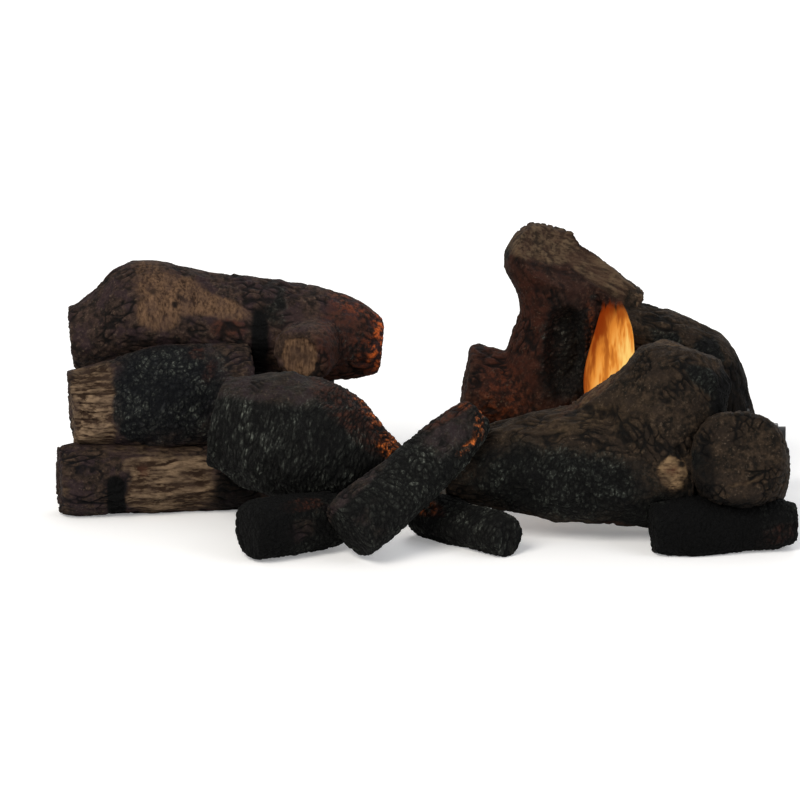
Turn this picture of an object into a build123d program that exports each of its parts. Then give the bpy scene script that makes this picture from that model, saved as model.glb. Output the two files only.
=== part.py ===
from build123d import *
from math import asin, atan2, cos, degrees, pi, radians, sin, sqrt, tan
import os

# A vented gas log set: twelve cast refractory logs piled round a twin tube burner.
# X runs to the right, Y away from the viewer and Z up; the hearth is the plane Z = 0.
# The origin is on the hearth, under the middle of the set.

# The whole set: the logs' lengths follow its width, and their thickness its depth
set_width = 700.0
set_depth = 379.0
set_height = 243.0
seat_bite = 3.5
seat_gap = 0.3
ridge_bite = 2.0
hearth_flat = 1.5
overrun = 2.0

# Girths (half thickness) and lengths of the logs
base_left_girth = 0.091 * set_depth
base_left_length = 0.2643 * set_width
mid_left_girth = 0.132 * set_depth
mid_left_length = 0.2371 * set_width
top_left_girth = 0.128 * set_depth
top_left_length = 0.4243 * set_width
top_left_overhang = 0.0014 * set_width
top_left_stub_girth = 0.074 * set_depth
top_left_stub_length = 0.2216 * set_depth
charred_girth = 0.156 * set_depth
front_left_girth = 0.0712 * set_depth
crossing_girth = 0.085 * set_depth
chunk_girth = 0.0541 * set_depth
chunk_length = 0.3113 * set_depth
front_right_girth = 0.1504 * set_depth
front_right_crown_girth = 0.145 * set_depth
front_right_crown_length = 0.3219 * set_depth
knot_girth = 0.0396 * set_depth
knot_proud = 6.0
end_right_girth = 0.1293 * set_depth
end_right_length = 0.3456 * set_depth
base_right_girth = 0.066 * set_depth
base_right_length = 0.1943 * set_width
rear_trunk_girth = 0.124 * set_depth
rear_burl_girth = 0.1135 * set_depth
rear_burl_length = 0.1086 * set_width
rear_arm_girth = 0.0844 * set_depth
rear_arm_length = 0.1314 * set_width
rear_right_girth = 0.106 * set_depth
rear_right_length = 0.2714 * set_width
hollow_depth = 16.0
hollow_width = 40.0
hollow_height = 92.0

# The steel base plate on the hearth
plate_thickness = 3.0
plate_margin = 2.0
plate_rear_share = 0.992
plate_left = 0.4286 * set_width
wing_front_share = 0.7256
wing_overlap = 6.0
plate_corner = 10.0
anchor_hole_radius = 3.25
anchor_inset = 12.0

# The burner tray, tubes and manifold
tray_left = 0.1686 * set_width
tray_end_space = 40.0
tray_width = 62.0
tray_height = 26.0
tray_wall = 1.5
tray_line_share = 0.6464
tube_radius = 9.5
tube_wall = 1.2
tube_length = 290.0
tube_pitch = 30.0
tube_lift = 13.5
port_radius = 1.25
port_pitch = 12.0
closed_ports = 2
cap_length = 3.0
manifold_length = 24.0
manifold_width = 54.0
manifold_height = 20.0
manifold_wall = 1.5
bed_height = 15.0
bed_gap = 0.3
ember_size = 10.0
ember_pitch = 27.0

# The mixing tube, its air shutter and the gas orifice
mixer_radius = 12.0
mixer_wall = 1.2
mixer_length = 42.0
air_window_length = 12.0
air_window_width = 9.0
shutter_wall = 1.2
shutter_length = 16.0
shutter_gap = 0.06
shutter_tab_length = 12.0
shutter_tab_width = 8.0
orifice_radius = 6.0
orifice_length = 18.0
orifice_bore = 1.2
orifice_flange_length = 4.0
orifice_stand = 12.0

# The valve, its panel, knob and igniter
panel_thickness = 2.0
panel_height = 80.0
panel_width = 77.0
panel_foot = 20.0
panel_shift = 12.0
valve_length = 44.0
valve_width = 44.0
valve_height = 68.0
valve_clear = 5.0
valve_corner = 4.0
bonnet_radius = 13.0
bonnet_length = 6.0
bonnet_wall = 4.0
spindle_lift = 51.0
spindle_radius = 4.0
plunger_radius = 7.0
plunger_length = 11.0
plunger_floor = 2.0
spindle_travel = 4.0
spindle_gap = 0.06
stop_gap = 0.1
knob_radius = 16.0
knob_length = 18.0
knob_stand_off = 5.0
knob_grip_width = 7.0
knob_grip_height = 7.0
knob_socket = 12.0
knob_corner = 1.5
igniter_offset = 34.0
igniter_lift = 57.0
igniter_radius = 8.5
igniter_length = 42.0
igniter_collar_radius = 12.0
igniter_collar_length = 4.0
igniter_nut_radius = 11.0
igniter_nut_length = 4.0
button_radius = 6.0
button_proud = 12.0
button_travel = 5.0
button_socket = 10.0
button_gap = 0.06
button_corner = 1.0
inlet_lift = 18.0
inlet_radius = 7.94
inlet_length = 13.0
inlet_hex = 9.5
inlet_hex_length = 8.0
inlet_bore = 4.0
screw_radius = 2.0
screw_head_radius = 3.8
screw_head_height = 2.2
screw_shank = 4.5

# The pilot assembly
pilot_inset = 26.0
bracket_length = 56.0
bracket_reach = 19.0
bracket_lift = 44.0
bracket_drop = 32.0
bracket_thickness = 1.5
pilot_pitch = 16.0
pilot_burner_radius = 5.0
pilot_burner_length = 20.0
pilot_hood_radius = 7.0
pilot_hood_wall = 1.0
pilot_hood_length = 12.0
pilot_window = 6.0
thermocouple_radius = 2.6
thermocouple_length = 34.0
electrode_radius = 1.4
electrode_length = 40.0
insulator_radius = 4.0
insulator_length = 22.0
pilot_nut_radius = 5.6
pilot_nut_length = 7.0
pilot_tube_radius = 1.6
lead_radius = 1.2
wire_radius = 1.6
bend_share = 0.45

# The rack that carries the two upper logs on the left
rack_bar = 9.0
rack_foot = 76.0
rack_rail_lift = 40.0
rack_left_share = 0.348
rack_right_share = 0.83
rack_setback = 65.7
rack_tip = 16.0
rack_lower_reach = 96.0
pin_radius = 3.0
pin_length = 18.0
pin_gap = 0.5
trunk_pin_length = 20.0
trunk_pin_spread = 25.0

# How far each ring of a log departs from round, as shares of its girth
ring_lobe_shares = (0.03, -0.03, 0.02, -0.04, 0.04, -0.02, 0.03, -0.03)

# The same for the two largest logs, whose bark stands out in blocks
ridge_lobe_shares = (
    (0.04, -0.05, 0.03, -0.04, 0.06, -0.03, 0.05, -0.06)
    + (0.03, -0.04, 0.05, -0.03, 0.04, -0.06, 0.06, -0.04)
)


def compass(heading, tilt):
    """A unit vector, heading degrees from +X towards +Y and tilt degrees up."""
    flat = cos(radians(tilt))
    return Vector(flat * cos(radians(heading)), flat * sin(radians(heading)), sin(radians(tilt)))


def lean(angle):
    """A unit vector across the set, angle degrees from straight up towards the back."""
    return Vector(0, sin(radians(angle)), cos(radians(angle)))


def place(width_share, depth_share, height):
    """A point by its share of the set's width from the middle and of its depth from the front."""
    return Vector(width_share * set_width, (depth_share - 1 / 2) * set_depth, height)


def depth_line(depth_share):
    """The Y of a line across the set, by its share of the depth from the front."""
    return (depth_share - 1 / 2) * set_depth


def facing_right(x, y, z):
    """A plane that looks along +X, with Y across it and Z up it."""
    return Plane(origin=(x, y, z), x_dir=(0, 1, 0), z_dir=(1, 0, 0))


def facing_left(x, y, z):
    """A plane that looks along -X, with -Y across it and Z up it."""
    return Plane(origin=(x, y, z), x_dir=(0, -1, 0), z_dir=(-1, 0, 0))


def facing_front(x, y, z):
    """A plane that looks along -Y, with X across it and Z up it."""
    return Plane(origin=(x, y, z), x_dir=(1, 0, 0), z_dir=(0, -1, 0))


class Limb:
    """One tapering, bending limb of a log.

    Each row of shape shares holds the share along the length, then the sideways
    shift, the lift and the half thickness as shares of the girth. A ridged limb
    has more lobes, which turn by one place from each row to the next.
    """

    def __init__(self, start, heading, tilt, length, girth, shape_shares, turn=0, ridged=False):
        self.start = start
        self.along = compass(heading, tilt)
        self.side = Vector(-sin(radians(heading)), cos(radians(heading)), 0)
        self.up = self.along.cross(self.side)
        self.length = length
        self.girth = girth
        self.shape_shares = shape_shares
        self.turn = turn
        self.ridged = ridged

    @classmethod
    def between(cls, start, rest, rest_share, girth, shape_shares, turn=0, ridged=False):
        """A limb from start through rest, which lies at rest_share of its length."""
        run = rest - start
        heading = degrees(atan2(run.Y, run.X))
        tilt = degrees(asin(run.Z / run.length))
        return cls(start, heading, tilt, run.length / rest_share, girth, shape_shares, turn, ridged)

    def centre(self, share):
        """The centre of the limb at this share of its length."""
        row = self.row(share)
        return (
            self.start
            + self.along * (self.length * share)
            + self.side * (self.girth * row[1])
            + self.up * (self.girth * row[2])
        )

    def beside(self, share, angle, reach):
        """The point this far from the centre, angle degrees from straight up across the limb."""
        across = self.side * sin(radians(angle)) + self.up * cos(radians(angle))
        return self.centre(share) + across * reach

    def radius(self, share):
        """The limb's half thickness at this share of its length."""
        return self.girth * self.row(share)[3]

    def row(self, share):
        """The shape at this share of the length, in line between its two neighbours."""
        rows = self.shape_shares
        after = next((i for i, row in enumerate(rows) if row[0] >= share), len(rows) - 1)
        after = max(after, 1)
        low, high = rows[after - 1], rows[after]
        part = min(max((share - low[0]) / (high[0] - low[0]), 0), 1)
        return tuple(a + (b - a) * part for a, b in zip(low, high))

    def at_x(self, x):
        """The share of the length at which the straight axis passes this X."""
        return (x - self.start.X) / (self.along.X * self.length)

    def underside(self, share, y):
        """The height of the limb's underside at this share and Y."""
        middle = self.centre(share)
        return middle.Z - sqrt(self.radius(share) ** 2 - (y - middle.Y) ** 2)

    def ring(self, i, radius):
        """The points of the lobed ring at row i of the shape."""
        if self.ridged:
            return ring_points(radius, self.turn + i, ridge_lobe_shares)
        return ring_points(radius, self.turn, ring_lobe_shares)

    def loft(self, grow=0.0):
        """The limb as a solid, or grown by a clearance on every side."""
        shares = [row[0] for row in self.shape_shares]
        centres = [self.centre(share) for share in shares]
        centres[0] = centres[0] - self.along * grow
        centres[-1] = centres[-1] + self.along * grow
        with BuildPart() as body:
            for i, share in enumerate(shares):
                before = centres[max(i - 1, 0)]
                after = centres[min(i + 1, len(centres) - 1)]
                facing = (after - before).normalized() + self.along
                plane = Plane(centres[i], x_dir=self.side, z_dir=facing)
                with BuildSketch(plane):
                    with BuildLine():
                        Spline(*self.ring(i, self.radius(share) + grow), periodic=True)
                    make_face()
            loft(ruled=True)
        return body.part


def ring_points(radius, turn, lobe_shares):
    """Points of one slightly lobed ring, its lobes turned by some places."""
    count = len(lobe_shares)
    points = []
    for i in range(count):
        reach = radius * (1 + lobe_shares[(i + turn) % count])
        angle = 2 * pi * i / count
        points.append((reach * cos(angle), reach * sin(angle)))
    return points


def save(name, piece):
    """Labels a finished piece and writes its STEP file."""
    piece.part.label = name
    export_step(piece.part, f"parts/{name}.step")


def slab_under(level):
    """A slab that fills the space below a level, for flat undersides."""
    with BuildPart() as slab:
        with BuildSketch(Plane.XY.offset(level)):
            Rectangle(set_width + set_depth, set_width + set_depth)
        extrude(amount=-set_height)
    return slab.part


os.makedirs("parts", exist_ok=True)
hearth = slab_under(0)
plate_fill = slab_under(plate_thickness)

# Left side: the base log lies on the hearth, and each log above leans further back
base_left = Limb(
    place(-0.497, 0.51, base_left_girth - hearth_flat),
    8,
    0,
    base_left_length,
    base_left_girth,
    ((0, 0, 0, 0.88), (0.05, 0, 0, 0.98), (0.45, 0, 0, 1), (0.8, 0.04, 0, 0.98), (1, 0, 0, 0.88)),
)
mid_left_end_share = 0.72
mid_left = Limb(
    base_left.centre(0.06)
    + lean(15) * (base_left_girth + mid_left_girth * mid_left_end_share - seat_bite),
    7.5,
    3.6,
    mid_left_length,
    mid_left_girth,
    (
        (0, 0, 0, mid_left_end_share),
        (0.2, 0, 0.02, 0.8),
        (0.5, 0, 0.04, 1),
        (0.8, 0, 0, 0.96),
        (1, 0, 0, 0.84),
    ),
    2,
)
top_left = Limb(
    mid_left.start
    + lean(49) * (mid_left_girth + top_left_girth - seat_bite)
    - Vector(top_left_overhang, 0, 0),
    0,
    -2.4,
    top_left_length,
    top_left_girth,
    (
        (0, 0, -0.26, 0.6),
        (0.1, 0, -0.01, 0.75),
        (0.2, 0, 0.38, 1.04),
        (0.3, 0, 0.34, 0.98),
        (0.43, 0, 0.29, 0.88),
        (0.56, 0, 0.2, 0.92),
        (0.7, 0, 0.16, 0.91),
        (0.84, 0, 0.02, 0.88),
        (0.94, 0, -0.06, 0.74),
        (1, 0, -0.16, 0.46),
    ),
    4,
)
top_left_stub = Limb(
    top_left.centre(0.83),
    -109,
    1,
    top_left_stub_length,
    top_left_stub_girth,
    ((0, 0, 0, 1.1), (0.5, 0, 0, 0.98), (0.92, 0, 0, 1), (1, 0, 0, 0.86)),
    1,
)
charred_rest_share = 0.857
charred_end_share = 0.7
charred = Limb.between(
    mid_left.centre(charred_rest_share)
    + lean(-92)
    * (
        mid_left.radius(charred_rest_share)
        + charred_girth * charred_end_share
        - seat_bite
        - ridge_bite
    ),
    place(-0.03, 0.3086, 1.22 * charred_girth),
    1,
    charred_girth,
    (
        (0, 0, 0, charred_end_share),
        (0.1, 0, 0, 0.8),
        (0.22, 0, 0, 0.94),
        (0.34, 0, 0, 1.02),
        (0.47, 0, 0, 1),
        (0.6, 0, 0, 1),
        (0.73, 0, 0, 0.81),
        (0.86, 0, 0, 0.51),
        (1, 0, 0, 0.2),
    ),
    3,
    ridged=True,
)
charred_over = charred.centre(0.6)
front_left_z = front_left_girth - hearth_flat
front_left_reach = charred.radius(0.6) + front_left_girth - seat_bite - ridge_bite
front_left = Limb.between(
    place(-0.237, 0.0844, front_left_z),
    Vector(
        charred_over.X,
        charred_over.Y - sqrt(front_left_reach**2 - (charred_over.Z - front_left_z) ** 2),
        front_left_z,
    ),
    0.9,
    front_left_girth,
    ((0, 0, 0, 0.86), (0.08, 0, 0, 1), (0.5, 0, 0, 1), (0.9, 0, 0, 1), (1, 0, 0, 0.9)),
    5,
)

# Right side: the chunk and the black base log carry the forked front log
chunk = Limb(
    place(0.113, 0.119, chunk_girth - hearth_flat),
    135,
    0,
    chunk_length,
    chunk_girth,
    ((0, 0, 0, 0.86), (0.08, 0, 0, 1), (0.5, 0, 0, 1), (0.92, 0, 0, 0.98), (1, 0, 0, 0.84)),
    6,
)
base_right = Limb(
    place(0.305, 0.154, base_right_girth - hearth_flat),
    9,
    0,
    base_right_length,
    base_right_girth,
    ((0, 0, 0, 0.88), (0.06, 0, 0, 1), (0.5, 0, 0, 1), (0.86, 0, 0, 1), (1, 0, 0, 0.72)),
    7,
)
front_right_tip_share = 0.58
front_right_rest_share = 0.92
front_right_left = chunk.beside(
    0.85, -21.3, chunk_girth + front_right_girth * front_right_tip_share - seat_bite - ridge_bite
)
front_right_rest = base_right.beside(
    0.045, 57, base_right_girth + front_right_girth * front_right_rest_share - seat_bite - ridge_bite
)
front_right = Limb.between(
    front_right_left,
    front_right_rest,
    0.84,
    front_right_girth,
    (
        (0, 0, 0, front_right_tip_share * 0.95),
        (0.07, 0, 0, front_right_tip_share),
        (0.2, 0, 0.04, 0.7),
        (0.33, 0, 0.08, 0.85),
        (0.46, 0, 0.1, 0.94),
        (0.59, 0, 0.1, 0.98),
        (0.72, 0, 0.06, 0.95),
        (0.84, 0, 0, front_right_rest_share),
        (1, 0, 0, 0.8),
    ),
    1,
    ridged=True,
)
front_right_crown = Limb(
    front_right.centre(0.84),
    32,
    66,
    front_right_crown_length,
    front_right_crown_girth,
    (
        (0, 0, 0, 0.9),
        (0.22, 0, 0, 0.99),
        (0.44, 0, 0, 1.01),
        (0.67, 0, 0, 0.97),
        (0.88, 0, 0, 0.84),
        (1, 0, 0, 0.5),
    ),
    2,
    ridged=True,
)
knot = Limb(
    front_right.centre(0.93),
    -84,
    6,
    front_right.radius(0.93) + knot_proud,
    knot_girth,
    ((0, 0, 0, 1), (0.8, 0, 0, 1), (0.96, 0, 0, 1), (1, 0, 0, 0.8)),
)
end_right_back_share = 0.92
end_right_back_z = end_right_girth * end_right_back_share - hearth_flat
end_right_front = place(0.4186, 0.133, 0)
end_right_front.Z = base_right.start.Z + base_right_girth + end_right_girth * 0.9 + seat_bite
end_right = Limb(
    end_right_front,
    87,
    -degrees(asin((end_right_front.Z - end_right_back_z) / end_right_length)),
    end_right_length,
    end_right_girth,
    ((0, 0, 0, 0.82), (0.06, 0, 0, 0.92), (0.45, 0, 0, 1), (0.9, 0, 0, 0.96), (1, 0, 0, 0.9)),
    3,
)
crossing_tip_share = 0.72
crossing_rest_share = 0.87
crossing = Limb.between(
    place(-0.103, 0.063, crossing_girth - hearth_flat),
    front_right.centre(0.06)
    + lean(-35.5)
    * (
        front_right_girth * front_right_tip_share
        + crossing_girth * crossing_tip_share
        - seat_bite
        - ridge_bite
    ),
    crossing_rest_share,
    crossing_girth,
    (
        (0, 0, 0, 0.93),
        (0.06, 0, 0, 1.03),
        (0.45, 0, -0.05, 0.92),
        (0.8, 0, 0.02, 0.82),
        (0.9, 0, 0.06, 0.74),
        (1, 0, 0.14, 0.58),
    ),
    4,
)

# Rear right: the forked trunk stands on the plate, and the bent log leans against it
rear_trunk = Limb(
    place(0.16, 0.873, plate_thickness),
    0,
    90,
    set_height - plate_thickness,
    rear_trunk_girth,
    (
        (0, 0, 0, 0.98),
        (0.3, 0, -0.04, 1),
        (0.5, 0, -0.22, 0.92),
        (0.66, 0, -0.45, 0.84),
        (0.8, 0, -0.31, 0.86),
        (0.93, 0, 0.01, 0.86),
        (1, 0, -0.34, 0.46),
    ),
    5,
)
rear_burl = Limb(
    rear_trunk.centre(0.3),
    180,
    9,
    rear_burl_length,
    rear_burl_girth,
    ((0, 0, 0, 0.94), (0.5, 0, 0, 0.94), (0.93, 0, 0, 1), (1, 0, 0, 0.9)),
    2,
)
rear_arm = Limb(
    rear_trunk.centre(0.84),
    0,
    -23,
    rear_arm_length,
    rear_arm_girth,
    ((0, 0, 0.11, 1.04), (0.4, 0, 0.03, 0.84), (0.94, 0, -0.06, 0.56), (1, 0, -0.06, 0.48)),
    6,
)
rear_right = Limb(
    place(0.418, 0.853, plate_thickness),
    180,
    49,
    rear_right_length,
    rear_right_girth,
    (
        (0, 0, 0, 1),
        (0.25, 0, 0.7, 0.98),
        (0.5, 0, 1.27, 0.98),
        (0.75, 0, 0.82, 0.95),
        (1, 0, 0.04, 0.88),
    ),
    1,
)

# Where the steel parts stand
plate_top = plate_thickness
tray_y = depth_line(tray_line_share)
tray_length = tube_length + tray_end_space
tray_right = tray_length - tray_left
burner_axis = plate_top + tube_lift
tray_floor = plate_top + tray_wall
panel_x = tray_right + mixer_length + orifice_stand + valve_length
panel_y = tray_y - panel_shift
valve_x = panel_x - valve_length
valve_bottom = plate_top + valve_clear
spindle_z = valve_bottom + spindle_lift
inlet_z = valve_bottom + inlet_lift
igniter_y = tray_y - igniter_offset
bonnet_end = panel_x + bonnet_length
knob_start = bonnet_end + knob_stand_off
bracket_z = plate_top + bracket_lift
bracket_y = tray_y - tray_width / 2
pilot_y = bracket_y - bracket_reach / 2
arm_top_y = top_left.centre(0.5).Y
rack_y = arm_top_y + rack_setback
rack_left_x = top_left.centre(rack_left_share).X
rack_right_x = top_left.centre(rack_right_share).X
pilot_x = tray_right - pilot_inset
panel_face = panel_x + panel_thickness
foot_screw_x = panel_face + panel_foot / 2
foot_screw_spread = panel_width / 2 - anchor_inset
foot_screw_places = [
    Vector(foot_screw_x, panel_y - foot_screw_spread, plate_top + panel_thickness),
    Vector(foot_screw_x, panel_y + foot_screw_spread, plate_top + panel_thickness),
]
valve_screw_spread = (bonnet_radius + screw_head_radius + panel_thickness / 2) * cos(radians(45))
valve_screw_places = [
    Vector(panel_face, tray_y - valve_screw_spread, spindle_z + valve_screw_spread),
    Vector(panel_face, tray_y + valve_screw_spread, spindle_z + valve_screw_spread),
]


def screw_shanks(radius):
    """The shanks of the panel's screws, or with a larger radius the holes that they fill."""
    with BuildPart() as shanks:
        for spot in foot_screw_places:
            with BuildSketch(Plane(spot)):
                Circle(radius)
            extrude(amount=-screw_shank)
        for spot in valve_screw_places:
            with BuildSketch(facing_right(*spot)):
                Circle(radius)
            extrude(amount=-screw_shank)
    return shanks.part


# The rack's arms lie against the undersides of the two logs that they carry
arm_left_z = top_left.underside(rack_left_share, arm_top_y) + seat_bite
arm_right_z = top_left.underside(rack_right_share, arm_top_y) + seat_bite
lower_share = mid_left.at_x(rack_left_x)
riser_top = max(arm_left_z, arm_right_z) + rack_tip
lower_arm_y = rack_y - rack_lower_reach
lower_arm_z = mid_left.underside(lower_share, lower_arm_y + rack_bar) + seat_bite


def bar_box(low, high):
    """A square bar, a beam or a block from its lowest to its highest corner."""
    size = high - low
    with BuildPart() as bar:
        with BuildSketch(Plane(low + size / 2 - Vector(0, 0, size.Z / 2))):
            Rectangle(size.X, size.Y)
        extrude(amount=size.Z)
    return bar.part


def rack_side(x, arms):
    """One welded side of the rack: a foot, a riser and its arms, as pairs of height and reach."""
    half = rack_bar / 2
    bars = [
        bar_box(
            Vector(x - half, rack_y + half - rack_foot, plate_top),
            Vector(x + half, rack_y + half, plate_top + rack_bar),
        ),
        bar_box(
            Vector(x - half, rack_y - half, plate_top),
            Vector(x + half, rack_y + half, riser_top),
        ),
    ]
    for height, reach in arms:
        bars.append(
            bar_box(
                Vector(x - half, rack_y - reach, height - rack_bar),
                Vector(x + half, rack_y + half, height),
            )
        )
    return bars


arm_reach = rack_y - arm_top_y + pin_length
rack_bars = rack_side(rack_left_x, [(arm_left_z, arm_reach), (lower_arm_z, rack_lower_reach)])
rack_bars += rack_side(rack_right_x, [(arm_right_z, arm_reach)])
rack_bars.append(
    bar_box(
        Vector(rack_left_x, rack_y - rack_bar / 2, plate_top + rack_rail_lift),
        Vector(rack_right_x, rack_y + rack_bar / 2, plate_top + rack_rail_lift + rack_bar),
    )
)
with BuildPart() as log_rack:
    for bar in rack_bars:
        add(bar)
save("log_rack", log_rack)

# Room for the rack in the logs that rest on it
rack_room = [
    bar_box(
        Vector(x - rack_bar / 2 - seat_gap, rack_y - reach - seat_gap, height - rack_bar),
        Vector(x + rack_bar / 2 + seat_gap, rack_y + rack_bar, height + seat_gap),
    )
    for x, height, reach in (
        (rack_left_x, arm_left_z, arm_reach),
        (rack_right_x, arm_right_z, arm_reach),
        (rack_left_x, lower_arm_z, rack_lower_reach),
    )
]

# Steel pins locate the two lifting logs: on the rack's arms, and through the plate
rack_pin_places = [
    Vector(rack_left_x, arm_top_y, arm_left_z),
    Vector(rack_right_x, arm_top_y, arm_right_z),
]
trunk_foot = rear_trunk.centre(0)
trunk_pin_places = [
    trunk_foot + Vector(-trunk_pin_spread, 0, 0),
    trunk_foot + Vector(trunk_pin_spread, 0, 0),
]


def pin_holes(places, length):
    """Blind holes with room all round, over the pins at these places."""
    with BuildPart() as holes:
        for spot in places:
            with BuildSketch(Plane(spot - Vector(0, 0, overrun))):
                Circle(pin_radius + pin_gap)
            extrude(amount=overrun + length + pin_gap)
    return holes.part


with BuildPart() as log_pins:
    for spot in rack_pin_places:
        with BuildSketch(Plane(spot)):
            Circle(pin_radius)
        extrude(amount=pin_length)
    for spot in trunk_pin_places:
        with BuildSketch(Plane(spot)):
            Circle(pin_radius)
        extrude(amount=trunk_pin_length)
    chamfer(log_pins.faces().group_by(Axis.Z)[-1].edges(), pin_radius / 4)
save("log_pins", log_pins)
rack_pin_holes = pin_holes(rack_pin_places, pin_length)
trunk_pin_holes = pin_holes(trunk_pin_places, trunk_pin_length)

# The logs, each cut by what it rests on
base_left_form = base_left.loft()
base_left_room = base_left.loft(seat_gap)
with BuildPart() as base_left_log:
    add(base_left_form)
    add(hearth, mode=Mode.SUBTRACT)
save("base_left_log", base_left_log)

mid_left_form = mid_left.loft()
mid_left_room = mid_left.loft(seat_gap)
with BuildPart() as mid_left_log:
    add(mid_left_form)
    add(base_left_room, mode=Mode.SUBTRACT)
    for room in rack_room:
        add(room, mode=Mode.SUBTRACT)
save("mid_left_log", mid_left_log)

top_left_form = top_left.loft()
top_left_stub_form = top_left_stub.loft()
with BuildPart() as top_left_log:
    add(top_left_form)
    add(top_left_stub_form)
    add(mid_left_room, mode=Mode.SUBTRACT)
    for room in rack_room:
        add(room, mode=Mode.SUBTRACT)
    add(rack_pin_holes, mode=Mode.SUBTRACT)
save("top_left_log", top_left_log)

front_left_form = front_left.loft()
front_left_room = front_left.loft(seat_gap)
with BuildPart() as front_left_log:
    add(front_left_form)
    add(hearth, mode=Mode.SUBTRACT)
save("front_left_log", front_left_log)

charred_form = charred.loft()
charred_room = charred.loft(seat_gap)
with BuildPart() as charred_log:
    add(charred_form)
    add(mid_left_room, mode=Mode.SUBTRACT)
    add(base_left_room, mode=Mode.SUBTRACT)
    add(front_left_room, mode=Mode.SUBTRACT)
save("charred_log", charred_log)

chunk_form = chunk.loft()
chunk_room = chunk.loft(seat_gap)
with BuildPart() as chunk_log:
    add(chunk_form)
    add(hearth, mode=Mode.SUBTRACT)
save("chunk_log", chunk_log)

base_right_form = base_right.loft()
base_right_room = base_right.loft(seat_gap)
with BuildPart() as base_right_log:
    add(base_right_form)
    add(hearth, mode=Mode.SUBTRACT)
save("base_right_log", base_right_log)

front_right_form = front_right.loft()
front_right_crown_form = front_right_crown.loft()
knot_form = knot.loft()
front_right_room = front_right.loft(seat_gap)
front_right_crown_room = front_right_crown.loft(seat_gap)
with BuildPart() as front_right_log:
    add(front_right_form)
    add(front_right_crown_form)
    add(knot_form)
    add(chunk_room, mode=Mode.SUBTRACT)
    add(base_right_room, mode=Mode.SUBTRACT)
save("front_right_log", front_right_log)

end_right_form = end_right.loft()
with BuildPart() as end_right_log:
    add(end_right_form)
    add(hearth, mode=Mode.SUBTRACT)
    add(base_right_room, mode=Mode.SUBTRACT)
    add(front_right_room, mode=Mode.SUBTRACT)
    add(front_right_crown_room, mode=Mode.SUBTRACT)
save("end_right_log", end_right_log)

crossing_form = crossing.loft()
with BuildPart() as crossing_log:
    add(crossing_form)
    add(hearth, mode=Mode.SUBTRACT)
    add(front_right_room, mode=Mode.SUBTRACT)
    add(charred_room, mode=Mode.SUBTRACT)
    add(front_left_room, mode=Mode.SUBTRACT)
save("crossing_log", crossing_log)

rear_trunk_form = rear_trunk.loft()
rear_burl_form = rear_burl.loft()
rear_arm_form = rear_arm.loft()
rear_trunk_room = rear_trunk.loft(seat_gap)
hollow_middle = rear_trunk.centre(0.54)
hollow_x = hollow_middle.X + hollow_width / 4
hollow_floor = hollow_middle.Y - rear_trunk.radius(0.54) + hollow_depth
with BuildPart() as rear_trunk_log:
    add(rear_trunk_form)
    add(rear_burl_form)
    add(rear_arm_form)
    with BuildSketch(facing_front(hollow_x, hollow_floor, hollow_middle.Z)):
        Ellipse(hollow_width / 2, hollow_height / 2)
    extrude(amount=hollow_depth + rear_trunk_girth, mode=Mode.SUBTRACT)
    add(plate_fill, mode=Mode.SUBTRACT)
    add(trunk_pin_holes, mode=Mode.SUBTRACT)
save("rear_trunk_log", rear_trunk_log)

rear_right_form = rear_right.loft()
rear_arm_room = rear_arm.loft(seat_gap)
with BuildPart() as rear_right_log:
    add(rear_right_form)
    add(plate_fill, mode=Mode.SUBTRACT)
    add(rear_trunk_room, mode=Mode.SUBTRACT)
    add(rear_arm_room, mode=Mode.SUBTRACT)
save("rear_right_log", rear_right_log)

# Room for the panel's screws
panel_screw_room = screw_shanks(screw_radius + stop_gap)

# The base plate, with a wing to the left and holes for the hearth's screws where no log lies over
plate_right = panel_face + panel_foot + plate_margin
plate_front_y = tray_y - tray_width / 2 - plate_margin
plate_rear_y = depth_line(plate_rear_share)
wing_right = tray_left + wing_overlap
plate_outline = [
    (-wing_right, plate_front_y),
    (plate_right, plate_front_y),
    (plate_right, plate_rear_y),
    (-plate_left, plate_rear_y),
    (-plate_left, depth_line(wing_front_share)),
    (-wing_right, depth_line(wing_front_share)),
]
anchor_line = plate_rear_y - anchor_inset
anchor_places = [
    (plate_right - anchor_inset, panel_y + panel_width / 2 + anchor_inset),
    (plate_right - anchor_inset, anchor_line),
    (0, anchor_line),
    (anchor_inset - plate_left, anchor_line),
]
with BuildPart() as base_plate:
    with BuildSketch():
        with BuildLine():
            Polyline(*plate_outline, close=True)
        make_face()
        fillet(vertices(), plate_corner)
        with Locations(*anchor_places):
            Circle(anchor_hole_radius, mode=Mode.SUBTRACT)
    extrude(amount=plate_thickness)
    add(panel_screw_room, mode=Mode.SUBTRACT)
save("base_plate", base_plate)

# The burner tray, open at the top, with a hole in its right wall for the mixing tube
with BuildPart() as burner_tray:
    with BuildSketch(Plane((tray_right - tray_length / 2, tray_y, plate_top))):
        Rectangle(tray_length, tray_width)
    extrude(amount=tray_height)
    offset(amount=-tray_wall, openings=burner_tray.faces().sort_by(Axis.Z)[-1])
    with BuildSketch(facing_left(tray_right + overrun, tray_y, burner_axis)):
        Circle(mixer_radius + bed_gap)
    extrude(amount=tray_wall + overrun * 2, mode=Mode.SUBTRACT)
save("burner_tray", burner_tray)

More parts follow.
